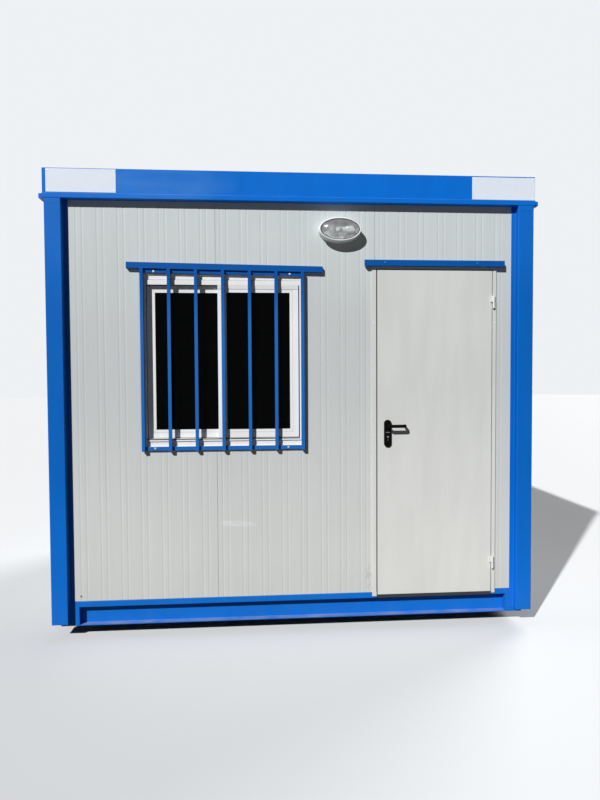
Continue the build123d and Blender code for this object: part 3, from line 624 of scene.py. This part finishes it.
def make_front_screws():
    mesh = bmesh.new()
    for x, z in GRILLE_SCREWS:
        add_screw(mesh, (x, FRONT - GRILLE_RAIL_PROUD, z), TO_FRONT, spin=x)
    piece("grille_screws", mesh, "zinc")
    cap_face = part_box("door_cap")[0].y
    mesh = bmesh.new()
    for x in CAP_SCREWS_X:
        add_screw(mesh, (x, cap_face, CAP_SCREWS_Z), TO_FRONT, size=0.9, spin=x)
    piece("door_cap_screws", mesh, "screw_blue")
    jamb_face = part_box("door_frame")[0].y
    mesh = bmesh.new()
    for x in JAMB_SCREWS_X:
        for z in JAMB_SCREWS_Z:
            add_turned(mesh, JAMB_SCREW, (x, jamb_face, z), TO_FRONT, count=16)
    piece("jamb_screws", mesh, "zinc", smooth=True)


def make_wall_screws():
    """One low on the front, as in the photograph, and a row above each other base rail."""
    z = RAIL_TOP + WALL_SCREW_RISE
    mesh = bmesh.new()
    add_screw(mesh, (FRONT_SCREW_X, FRONT, z), TO_FRONT, WALL_SCREW_SIZE, spin=0.3)
    for x in BACK_SCREWS_X:
        add_screw(mesh, (x, BACK, z), TO_BACK, WALL_SCREW_SIZE, spin=x)
    for y in SIDE_SCREWS_Y:
        add_screw(mesh, (LEFT, y, z), TO_LEFT, WALL_SCREW_SIZE, spin=y)
        add_screw(mesh, (RIGHT, y, z), TO_RIGHT, WALL_SCREW_SIZE, spin=y)
    piece("wall_screws", mesh, "lock_steel")


def make_roof_screws():
    """Screws with wide washers along the tops of the roof's ribs."""
    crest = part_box("roof_panel_left")[1].z
    roof_left, roof_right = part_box("roof_panel_left")[0].x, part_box("roof_panel_right")[1].x
    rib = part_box("wall_front_over_door")[0].x - 2 * PANEL_MODULE + ROOF_RIB_PITCH / 2
    mesh = bmesh.new()
    while rib < roof_right:
        if rib > roof_left:
            for y in (FRONT + ROOF_SCREW_INSET, (FRONT + BACK) / 2, BACK - ROOF_SCREW_INSET):
                add_turned(mesh, ROOF_WASHER, (rib, y, crest), UPWARD, count=20)
                add_screw(mesh, (rib, y, crest + ROOF_SCREW_RISE), UPWARD, size=1.1, spin=rib + y)
        rib += ROOF_RIB_PITCH
    piece("roof_screws", mesh, "zinc")


make_front_screws()
make_wall_screws()
make_roof_screws()

# Lamp. Its rings are (inset from the solid's outline, distance from the wall), in mm.
LAMP_LOW, LAMP_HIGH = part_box("lamp_body")
LAMP_X, LAMP_Z = (LAMP_LOW.x + LAMP_HIGH.x) / 2, (LAMP_LOW.z + LAMP_HIGH.z) / 2
LAMP_HALF_WIDTH, LAMP_HALF_HEIGHT = (LAMP_HIGH.x - LAMP_LOW.x) / 2, (LAMP_HIGH.z - LAMP_LOW.z) / 2
LAMP_POINTS = 96
LAMP_SIDE = [(-2, 0), (-2.2, 6), (0.6, 30), (1.2, 52), (0.6, 55.5), (0, 58), (0.2, 61)]
LAMP_LIP = [(1.4, 63.6), (3.4, 65), (6.2, 65), (7.8, 64.2), (8.6, 62.6), (8.8, 58)]
LAMP_BOWL = [(10.4, 58), (14, 50), (24, 34), (38, 22), (52, 16), (68, 14)]
LAMP_GASKET = [(8.9, 58), (8.9, 62.4), (10.4, 63), (11.9, 62.4), (12.1, 58), (8.9, 58)]
# The holder and the bulb lie along the lamp, their profiles are (radius, distance along) in metres
HOLDER_START = (LAMP_X - 0.022, FRONT - 0.04, LAMP_Z + 0.004)
HOLDER = [(0.015, 0), (0.016, 0.002), (0.016, 0.03), (0.0135, 0.032), (0.0135, 0.036)]
BULB = [
    (0.0125, 0.034), (0.0128, 0.046), (0.0165, 0.062), (0.0205, 0.078), (0.022, 0.09),
    (0.0208, 0.102), (0.016, 0.111), (0.009, 0.1155), (0.002, 0.117),
]
# Lens, in mm: how it sits and stands out, and the flutes pressed into its inner skin
LENS_INSET = 11.4
LENS_FOOT = 62.0
LENS_RISE = 19.0
LENS_THICKNESS = 2.4
FLUTE_DEPTH = 0.45
FLUTE_LENGTH = 4.2
# Its rings, set closer at the rim, and the share of its size where the bevel ends
LENS_STEPS = 26
LENS_SPACING = 0.8
LENS_LAST_STEP = 0.6
LENS_BEVEL_ENDS = 0.6
LENS_BEVEL_CURVE = 1.25
LENS_BEVEL_SHARE = 0.9


def lamp_ring(inset, distance):
    half_width, half_height = LAMP_HALF_WIDTH - inset * MM, LAMP_HALF_HEIGHT - inset * MM
    points = []
    for index in range(LAMP_POINTS):
        turn = 2 * math.pi * index / LAMP_POINTS
        x, z = LAMP_X + half_width * math.cos(turn), LAMP_Z + half_height * math.sin(turn)
        points.append((x, FRONT - distance * MM, z))
    return points


def lamp_rings(profile):
    return [lamp_ring(*step) for step in profile]


def make_lamp_housing():
    mesh = bmesh.new()
    add_rings(mesh, lamp_rings(LAMP_SIDE + LAMP_LIP), closed_end=False)
    housing = piece("lamp_housing", mesh, "lamp_grey", smooth=True)
    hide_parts("lamp_body")


def make_lamp_inside():
    mesh = bmesh.new()
    add_rings(mesh, lamp_rings(LAMP_BOWL), closed_start=False)
    piece("lamp_reflector", mesh, "reflector", smooth=True)
    mesh = bmesh.new()
    add_rings(mesh, lamp_rings(LAMP_GASKET), closed_start=False, closed_end=False)
    bmesh.ops.remove_doubles(mesh, verts=mesh.verts, dist=1e-6)
    piece("lamp_gasket", mesh, "black_seal_and_shade", smooth=True)
    mesh = bmesh.new()
    add_turned(mesh, HOLDER, HOLDER_START, TO_RIGHT, count=28)
    piece("lamp_holder", mesh, "reflector", smooth=True)
    mesh = bmesh.new()
    add_turned(mesh, BULB, HOLDER_START, TO_RIGHT, count=32)
    piece("lamp_bulb", mesh, "bulb_white", smooth=True)


def lens_ring(share, skin):
    """Ring of the lens at a share of its size. The inner skin is set in and fluted."""
    bevel = min((1 - share) / (1 - LENS_BEVEL_ENDS), 1.0)
    edge = LENS_BEVEL_SHARE * (1 - (1 - bevel) ** LENS_BEVEL_CURVE)
    lift = edge + (1 - LENS_BEVEL_SHARE) * (1 - share ** 2)
    inset = LENS_INSET * MM + skin * MM
    points = []
    for index in range(LAMP_POINTS * 2):
        turn = math.pi * index / LAMP_POINTS
        x = (LAMP_HALF_WIDTH - inset) * share * math.cos(turn)
        z = (LAMP_HALF_HEIGHT - inset) * share * math.sin(turn)
        flute = FLUTE_DEPTH * math.cos(x / (FLUTE_LENGTH * MM)) if skin else 0.0
        distance = LENS_FOOT + (LENS_RISE - skin) * lift - flute
        points.append((LAMP_X + x, FRONT - distance * MM, LAMP_Z + z))
    return points


def make_lamp_dome():
    whole = LENS_STEPS - 1 + LENS_LAST_STEP
    shares = [(1 - step / whole) ** LENS_SPACING for step in range(LENS_STEPS)]
    outer = [lens_ring(share, 0.0) for share in shares]
    inner = [lens_ring(share, LENS_THICKNESS) for share in reversed(shares)]
    mesh = bmesh.new()
    add_rings(mesh, inner + outer)
    dome = piece("lamp_dome", mesh, "lamp_glass", smooth=True)
    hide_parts("lamp_glass")


make_lamp_housing()
make_lamp_inside()
make_lamp_dome()

# Lever set
LEAF_LOW, LEAF_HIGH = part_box("door_leaf")
LEVER_LOW, LEVER_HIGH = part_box("lever_handles")
HUB_RADIUS, BAR_HALF_THICKNESS = 0.009, 0.006
HUB_X = LEVER_LOW.x + HUB_RADIUS
HUB_Z = (LEVER_LOW.z + LEVER_HIGH.z) / 2
# The lever's line: out along the neck, round to the bar, and back at the tip
LEVER_NECK = 0.012
LEVER_REACH = 0.047
LEVER_BEND = 0.011
BEND_STEPS = 6
LEVER_BAR_START = 0.045
LEVER_TIP_X = LEVER_HIGH.x - BAR_HALF_THICKNESS
LEVER_RETURN = 0.034
LEVER_TIP_LENGTH = 0.0035
# Half thickness and half height at the hub, along the bar and at the tip
HUB_SECTION = (0.0088, 0.0088)
BAR_SECTION = (0.0064, 0.0103)
TIP_SECTION = (0.005, 0.0085)
SECTION_POINTS = 24
SECTION_SQUARENESS = 0.7
SPINDLE, SPINDLE_SUNK = [(0.005, 0), (0.005, 0.038)], 0.001
# Handle plates, and the turned parts on them
HANDLE_PLATE_PROUD = 0.008
ROSE = [(0.0165, 0), (0.0165, 0.0022), (0.0155, 0.003), (0.0098, 0.003), (0.0098, 0.0)]
HANDLE_SCREW = [(0.0042, 0), (0.004, 0.0008), (0.0026, 0.0014), (0.001, 0.0015)]
HANDLE_SCREW_DROPS = (-0.028, 0.121)
LOCK_DROP = 0.07
LOCK_PROUD = 0.003
LOCK_PLUG_RISE = 0.0012
LOCK_PLUG = [(0.0068, 0), (0.0068, 0.0008), (0.0062, LOCK_PLUG_RISE)]
# Raised blocks: (half width, bottom, top), the ridge's from the hub and the others' from the lock
RIDGE, RIDGE_RISE = (0.0125, -0.0435, -0.0385), 0.0016
LOCK_END = (0.004, -0.021, -0.0175)
LOCK_TAIL = (0.0045, -0.0175, -0.006)
KEYHOLE, KEYHOLE_RISE = (0.0008, -0.0045, 0.0045), 0.0003


def squared(share):
    """Push a circle's coordinate out, towards a rounded square."""
    return math.copysign(abs(share) ** SECTION_SQUARENESS, share)


def add_sweep(mesh, path, sections):
    """Tube whose path lies in a level plane: sections are (half across, half high)."""
    rings = []
    for index, point in enumerate(path):
        before = path[max(index - 1, 0)]
        after = path[min(index + 1, len(path) - 1)]
        ahead = (Vector(after) - Vector(before)).normalized()
        side = Vector((ahead.y, -ahead.x, 0))
        across, high = sections[index]
        ring = []
        for step in range(SECTION_POINTS):
            turn = 2 * math.pi * step / SECTION_POINTS
            share_x, share_z = squared(math.cos(turn)), squared(math.sin(turn))
            ring.append(Vector(point) + side * (across * share_x) + Vector((0, 0, high * share_z)))
        rings.append(ring)
    add_rings(mesh, rings)


def lever_path(face, outward):
    """Points from the leaf out, round to the bar and back towards the leaf."""
    turns = [math.radians(90 / BEND_STEPS * step) for step in range(1, BEND_STEPS + 1)]
    path = [(HUB_X, 0.0), (HUB_X, LEVER_NECK), (HUB_X, LEVER_REACH - LEVER_BEND)]
    for turn in turns:
        along, out = 1 - math.cos(turn), 1 - math.sin(turn)
        path.append((HUB_X + LEVER_BEND * along, LEVER_REACH - LEVER_BEND * out))
    path.append((HUB_X + LEVER_BAR_START, LEVER_REACH))
    path.append((LEVER_TIP_X - LEVER_BEND, LEVER_REACH))
    for turn in turns:
        along, out = 1 - math.sin(turn), 1 - math.cos(turn)
        path.append((LEVER_TIP_X - LEVER_BEND * along, LEVER_REACH - LEVER_BEND * out))
    path.append((LEVER_TIP_X, LEVER_REACH - LEVER_RETURN + LEVER_TIP_LENGTH))
    path.append((LEVER_TIP_X, LEVER_REACH - LEVER_RETURN))
    sections = [HUB_SECTION] * 3 + [BAR_SECTION] * (len(path) - 4) + [TIP_SECTION]
    return [(x, face + outward * out, HUB_Z) for x, out in path], sections


def make_levers():
    mesh = bmesh.new()
    for face, outward in ((LEAF_LOW.y, -1), (LEAF_HIGH.y, 1)):
        add_sweep(mesh, *lever_path(face, outward))
    add_turned(mesh, SPINDLE, (HUB_X, LEAF_LOW.y + SPINDLE_SUNK, HUB_Z), TO_BACK, count=16)
    levers = piece("levers", mesh, "handle_black", "lever", smooth=True)
    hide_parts("lever_handles")


def add_raised(mesh, outline, level, face, rise, chamfer=0.0):
    """Block on the hub's line at a level, raised from a face of the handle."""
    half_width, bottom, top = outline
    front, back = sorted((face, face + rise))
    low = (HUB_X - half_width, front, level + bottom)
    high = (HUB_X + half_width, back, level + top)
    add_block(mesh, low, high, chamfer)


def make_handle_details(side, face, outward):
    """Rose, ridge, screws and lock on the handle plate of one side."""
    plate_face = face + outward * HANDLE_PLATE_PROUD
    lock_rise = outward * LOCK_PROUD
    lock_face = plate_face + lock_rise
    key_face = lock_face + outward * LOCK_PLUG_RISE
    lock_z = HUB_Z - LOCK_DROP
    axis = (0, outward, 0)
    mesh = bmesh.new()
    add_turned(mesh, ROSE, (HUB_X, plate_face, HUB_Z), axis, count=32)
    piece(f"handle_rose_{side}", mesh, "handle_black", "door")
    mesh = bmesh.new()
    add_raised(mesh, RIDGE, HUB_Z, plate_face, outward * RIDGE_RISE, chamfer=0.0005)
    piece(f"handle_ridge_{side}", mesh, "lock_steel", "door")
    mesh = bmesh.new()
    for drop in HANDLE_SCREW_DROPS:
        add_turned(mesh, HANDLE_SCREW, (HUB_X, plate_face, HUB_Z - drop), axis, count=20)
    piece(f"handle_screws_{side}", mesh, "handle_black", "door", smooth=True)
    mesh = bmesh.new()
    add_turned(mesh, LOCK_PLUG, (HUB_X, lock_face, lock_z), axis, count=24)
    add_raised(mesh, LOCK_END, lock_z, plate_face, lock_rise, chamfer=0.0008)
    piece(f"lock_cylinder_{side}", mesh, "lock_steel", "door")
    mesh = bmesh.new()
    add_raised(mesh, LOCK_TAIL, lock_z, plate_face, lock_rise, chamfer=0.0006)
    piece(f"lock_tail_{side}", mesh, "handle_black", "door")
    mesh = bmesh.new()
    # Painted shade: a black slab stands for the keyhole's dark slot
    add_raised(mesh, KEYHOLE, lock_z, key_face, outward * KEYHOLE_RISE)
    piece(f"keyhole_{side}", mesh, "black_seal_and_shade", "door")


make_levers()
make_handle_details("outer", LEAF_LOW.y, -1)
make_handle_details("inner", LEAF_HIGH.y, 1)

# Window: gaskets, beads, brush seals that also paint the shade in the gaps, and the sealant round
# it
WINDOW_LOW, WINDOW_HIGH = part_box("window_frame")
WINDOW_JAMB_FACE = 0.0245
WINDOW_SILL_FACE = 0.062
WINDOW_HEAD_FACE = 0.073
GLASS_REBATE = 0.008
GASKET_WIDTH, GASKET_SUNK = 0.0035, 0.003
BEAD_WIDTH = 0.017
BEAD_LINE, MITRE_LINE, LINE_PROUD = 0.0009, 0.00054, 0.0002
BRUSH_HEIGHT, BRUSH_SIDE = 0.003, 0.004
FRONT_BRUSH_DEPTH, REAR_BRUSH_DEPTH = 0.0015, 0.002
BRUSH_CHAMFER = 0.0005
CLOSING_BRUSH = (0.002, 0.006)
SILL_JOINT, SILL_JOINT_PROUD = (0.0075, 0.0015), 0.0005
DRIP_DROP, DRIP_PROUD, DRIP_EDGE = 0.026, 0.0038, 0.0012
SEALANT_WIDTH, SEALANT_PROUD = 0.0035, 0.002


def add_frame_of_blocks(mesh, low, high, front, back, width, chamfer):
    """Four bars round a rectangle, inside it."""
    (x0, z0), (x1, z1) = low, high
    add_block(mesh, (x0, front, z0), (x1, back, z0 + width), chamfer)
    add_block(mesh, (x0, front, z1 - width), (x1, back, z1), chamfer)
    add_block(mesh, (x0, front, z0 + width), (x0 + width, back, z1 - width), chamfer)
    add_block(mesh, (x1 - width, front, z0 + width), (x1, back, z1 - width), chamfer)


def add_line(mesh, start, end, width, front, back):
    """Thin strip between two (x, z) points on a plane parallel to the front wall."""
    along = Vector((end[0] - start[0], 0, end[1] - start[1])).normalized()
    across = Vector((-along.z, 0, along.x)) * (width / 2)
    rings = []
    for x, z in (start, end):
        ring = []
        for side, depth in ((-1, front), (1, front), (1, back), (-1, back)):
            ring.append(Vector((x, depth, z)) + across * side)
        rings.append(ring)
    add_rings(mesh, rings)


def corners(low, high, grow=0.0):
    """The four (x, z) corners of a rectangle, grown on all sides."""
    x0, z0, x1, z1 = low[0] - grow, low[1] - grow, high[0] + grow, high[1] + grow
    return [(x0, z0), (x1, z0), (x1, z1), (x0, z1)]


def make_glazing(side):
    """Gaskets at the glass on both faces, and the joints of the glazing beads."""
    low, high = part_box(f"glass_{side}")
    sash_low, sash_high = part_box(f"sash_{side}")
    light_low = (low.x + GLASS_REBATE, low.z + GLASS_REBATE)
    light_high = (high.x - GLASS_REBATE, high.z - GLASS_REBATE)
    mesh = bmesh.new()
    for front, back in ((sash_low.y + GASKET_SUNK, low.y), (high.y, sash_high.y - GASKET_SUNK)):
        add_frame_of_blocks(mesh, light_low, light_high, front, back, GASKET_WIDTH, chamfer=0.0006)
    piece(f"glass_seal_{side}", mesh, "black_seal_and_shade")
    mesh = bmesh.new()
    outer, inner = corners(light_low, light_high, BEAD_WIDTH), corners(light_low, light_high)
    for front, back in (
        (sash_low.y - LINE_PROUD, sash_low.y), (sash_high.y, sash_high.y + LINE_PROUD)
    ):
        for index in range(4):
            add_line(mesh, outer[index], outer[(index + 1) % 4], BEAD_LINE, front, back)
            add_line(mesh, outer[index], inner[index], MITRE_LINE, front, back)
    piece(f"bead_joints_{side}", mesh, "joint_grey")


def make_brush_seals_and_gap_shade():
    """Black brush seals between the sashes and the frame, and the dark joint on the sill's face,
    which also paint the shade in the gaps there.
    """
    left, right = WINDOW_LOW.x + WINDOW_JAMB_FACE, WINDOW_HIGH.x - WINDOW_JAMB_FACE
    bottom, top = WINDOW_LOW.z + WINDOW_SILL_FACE, WINDOW_HIGH.z - WINDOW_HEAD_FACE
    sash_low, sash_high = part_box("sash_right")
    near, rear, sill = sash_low.y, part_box("sash_left")[0].y, WINDOW_LOW.y
    near_brush, rear_brush = near - FRONT_BRUSH_DEPTH, rear - REAR_BRUSH_DEPTH
    low_brush, high_brush = bottom + BRUSH_HEIGHT, top - BRUSH_HEIGHT
    mesh = bmesh.new()
    for low, high in (
        ((left, rear_brush, bottom), (sash_low.x, rear, low_brush)),
        ((left, rear_brush, high_brush), (sash_low.x, rear, top)),
        ((left, rear_brush, low_brush), (left + BRUSH_SIDE, rear, high_brush)),
        ((sash_low.x, near_brush, bottom), (sash_high.x, near, low_brush)),
    ):
        add_block(mesh, low, high, BRUSH_CHAMFER)
    # Painted shade: a dark line where the sash meets the sill
    low = (left, sill - SILL_JOINT_PROUD, bottom - SILL_JOINT[0])
    add_block(mesh, low, (right, sill, bottom - SILL_JOINT[1]), chamfer=0.0002)
    low = (sash_high.x, near + CLOSING_BRUSH[0], bottom)
    add_block(mesh, low, (right, near + CLOSING_BRUSH[1], top), BRUSH_CHAMFER)
    piece("brush_seals_and_gap_shade", mesh, "black_seal_and_shade")


def make_drip_bead():
    """Sloping bead along the head of the front sash."""
    sash_low, sash_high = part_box("sash_right")
    near, top = sash_low.y, WINDOW_HIGH.z - WINDOW_HEAD_FACE
    out = near - DRIP_PROUD
    profile = [(near, top - DRIP_DROP), (out, top - DRIP_EDGE), (out, top), (near, top)]
    mesh = bmesh.new()
    add_rings(mesh, [[(x, y, z) for y, z in profile] for x in (sash_low.x, sash_high.x)])
    piece("drip_bead", mesh, "window_white")


def make_window_sealant():
    mesh = bmesh.new()
    width, face = SEALANT_WIDTH, FRONT - SEALANT_PROUD
    low = (WINDOW_LOW.x - width, WINDOW_LOW.z - width)
    high = (WINDOW_HIGH.x + width, WINDOW_HIGH.z + width)
    add_frame_of_blocks(mesh, low, high, face, FRONT, width, chamfer=0.0009)
    piece("window_sealant", mesh, "sealant")


make_glazing("left")
make_glazing("right")
make_brush_seals_and_gap_shade()
make_drip_bead()
make_window_sealant()

# Seals round the door, black so that they also paint the shade in its gaps
LEAF_GAP = 0.006
LEAF_TO_STOP = 0.005
DOOR_SEAL_WIDTH = 0.016
DOOR_SEAL_RISE = 0.0035
DOOR_SEAL_REACH = LEAF_GAP - 0.001
DOOR_SEAL_BOTTOM = RAIL_TOP + 0.004
LATCH_LIP_SUNK, LATCH_LIP_THICKNESS = 0.006, 0.003
LATCH_LIP_CLEARANCE = 0.0022
LATCH_EDGE_WIDTH, LATCH_EDGE_PROUD = 0.0016, 0.0003


def make_door_seal_and_gap_shade():
    """Rubber profile on the front of the frame's stop, behind the closed leaf; black, it also
    paints the shade in the gap round the leaf.
    """
    seat, width = LEAF_HIGH.y + LEAF_TO_STOP, DOOR_SEAL_WIDTH
    front, top = seat - DOOR_SEAL_RISE, LEAF_HIGH.z + DOOR_SEAL_REACH
    left, right = LEAF_LOW.x - DOOR_SEAL_REACH, LEAF_HIGH.x + DOOR_SEAL_REACH
    mesh = bmesh.new()
    for low, high in (
        ((left, front, DOOR_SEAL_BOTTOM), (left + width, seat, top)),
        ((right - width, front, DOOR_SEAL_BOTTOM), (right, seat, top)),
        ((left + width, front, top - width), (right - width, seat, top)),
    ):
        add_block(mesh, low, high, chamfer=0.001)
    piece("door_seal_and_gap_shade", mesh, "black_seal_and_shade")


def make_latch_seal_and_gap_shade():
    """Black lip in the gap beside the leaf's latch edge, and a thin black strip on the frame beside
    it, which paint the shade in that gap.
    """
    bottom, top, lip = DOOR_SEAL_BOTTOM, LEAF_HIGH.z, LEAF_LOW.y + LATCH_LIP_SUNK
    edge, tip = LEAF_LOW.x - LEAF_GAP, LEAF_LOW.x - LATCH_LIP_CLEARANCE
    mesh = bmesh.new()
    add_block(mesh, (edge, lip, bottom), (tip, lip + LATCH_LIP_THICKNESS, top), chamfer=0.0008)
    # Painted shade: the dark edge of the gap, on the frame
    low = (edge - LATCH_EDGE_WIDTH, LEAF_LOW.y - LATCH_EDGE_PROUD, bottom)
    add_block(mesh, low, (edge, lip, top), chamfer=0.0002)
    piece("latch_seal_and_gap_shade", mesh, "black_seal_and_shade")


make_door_seal_and_gap_shade()
make_latch_seal_and_gap_shade()

# Dark sealant in the joints between the wall panels: (half width, depth) round its section
SEAM_SECTION = ((-0.0001, 0.0015), (0.0001, 0.0015), (0.00055, 0.00095), (-0.00055, 0.00095))


def add_seam(mesh, place, outward, low=RAIL_TOP, high=WALL_TOP):
    """Strip in the bottom of a joint's V, from one height to another."""
    outward = Vector(outward)
    along = Vector((-outward.y, outward.x, 0))
    rings = []
    for z in (low, high):
        middle = Vector((*place, z))
        rings.append([middle + along * side - outward * depth for side, depth in SEAM_SECTION])
    add_rings(mesh, rings)


def make_panel_seams():
    window_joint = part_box("wall_front_left")[1].x
    door_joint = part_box("wall_front_over_door")[0].x
    door_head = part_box("door_frame")[1].z
    mesh = bmesh.new()
    add_seam(mesh, (window_joint, FRONT), TO_FRONT, high=WINDOW_LOW.z)
    add_seam(mesh, (window_joint, FRONT), TO_FRONT, low=WINDOW_HIGH.z)
    add_seam(mesh, (door_joint, FRONT), TO_FRONT, low=door_head)
    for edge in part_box("wall_back_centre"):
        add_seam(mesh, (edge.x, BACK), TO_BACK)
    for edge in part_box("wall_left_middle"):
        add_seam(mesh, (LEFT, edge.y), TO_LEFT)
        add_seam(mesh, (RIGHT, edge.y), TO_RIGHT)
    piece("panel_seams", mesh, "black_seal_and_shade")


make_panel_seams()

# Threshold, a folded profile with grooves along its top
THRESHOLD_NOSE = 0.037
THRESHOLD_SKIN = 0.0009
THRESHOLD_EDGE = 0.0012
GROOVES_FROM_FRONT, GROOVES_FROM_BACK = 0.004, 0.005
GROOVE_PITCH = 0.0045
GROOVE_DEPTH = 0.0008
# A groove's corners: (distance along its pitch, depth)
GROOVE_STEPS = ((0, 0), (0.0006, GROOVE_DEPTH), (0.0016, GROOVE_DEPTH), (0.0022, 0))


def make_threshold():
    low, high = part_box("door_threshold")
    nose = RAIL_TOP - THRESHOLD_NOSE
    profile = [(low.y, nose), (low.y, high.z - THRESHOLD_EDGE), (low.y + THRESHOLD_EDGE, high.z)]
    groove = low.y + GROOVES_FROM_FRONT
    while groove < high.y - GROOVES_FROM_BACK:
        profile += [(groove + along, high.z - depth) for along, depth in GROOVE_STEPS]
        groove += GROOVE_PITCH
    inner = low.y + THRESHOLD_SKIN
    profile += [(high.y, high.z), (high.y, RAIL_TOP), (inner, RAIL_TOP), (inner, nose)]
    mesh = bmesh.new()
    add_rings(mesh, [[(x, y, z) for y, z in profile] for x in (low.x, high.x)])
    threshold = piece("threshold_profile", mesh, "threshold_metal")
    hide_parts("door_threshold")


make_threshold()

# Weld beads near the ends of the posts, on both outer faces
POST_FACE = 0.1
WELD_FROM_EDGE = 0.004
WELD_FROM_END = 0.03
WELD_PROUD = 0.0007
WELD_HALF_HEIGHT = 0.0015


def weld_span(outer, inward):
    """From near a post's corner to near the other edge of the face."""
    return sorted((outer + inward * WELD_FROM_EDGE, outer + inward * (POST_FACE - WELD_FROM_EDGE)))


def make_post_welds():
    for side in ("front_left", "front_right", "back_left", "back_right"):
        low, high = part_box(f"post_{side}")
        outer_x, inward_x = (low.x, 1) if low.x < 0 else (high.x, -1)
        outer_y, inward_y = (low.y, 1) if low.y < 0 else (high.y, -1)
        x0, x1 = weld_span(outer_x, inward_x)
        y0, y1 = weld_span(outer_y, inward_y)
        front, back = sorted((outer_y, outer_y - inward_y * WELD_PROUD))
        left, right = sorted((outer_x, outer_x - inward_x * WELD_PROUD))
        mesh = bmesh.new()
        for z in (low.z + WELD_FROM_END, high.z - WELD_FROM_END):
            bottom, top = z - WELD_HALF_HEIGHT, z + WELD_HALF_HEIGHT
            add_block(mesh, (x0, front, bottom), (x1, back, top), chamfer=0.0003)
            add_block(mesh, (left, y0, bottom), (right, y1, top), chamfer=0.0003)
        piece(f"post_weld_{side}", mesh, "frame_blue")


make_post_welds()


# Floor of the studio, pale where it is seen and dark for the light that it throws back
FLOOR_RADIUS = 60
FLOOR_SEEN = (0.7, 0.71, 0.72)
FLOOR_LIT = (0.08, 0.079, 0.075)


def make_stage():
    mesh = bmesh.new()
    bmesh.ops.create_circle(mesh, cap_ends=True, radius=FLOOR_RADIUS, segments=64)
    data = bpy.data.meshes.new("studio_floor")
    mesh.to_mesh(data)
    mesh.free()
    paint = Paint("studio_floor", FLOOR_LIT, 0.8, specular=0.05)
    paint.vary(0.012, 0.4)
    path = paint.add("ShaderNodeLightPath")
    seen = paint.maths("MAXIMUM", path.outputs["Is Camera Ray"], path.outputs["Is Glossy Ray"])
    seen = paint.maths("MAXIMUM", seen, path.outputs["Is Transmission Ray"])
    paint.blend(seen, FLOOR_SEEN)
    data.materials.append(paint.done(0.03, 1.0))
    floor = bpy.data.objects.new("studio_floor", data)
    bpy.context.scene.collection.objects.link(floor)


make_stage()

bpy.context.scene.view_settings.view_transform = "Standard"
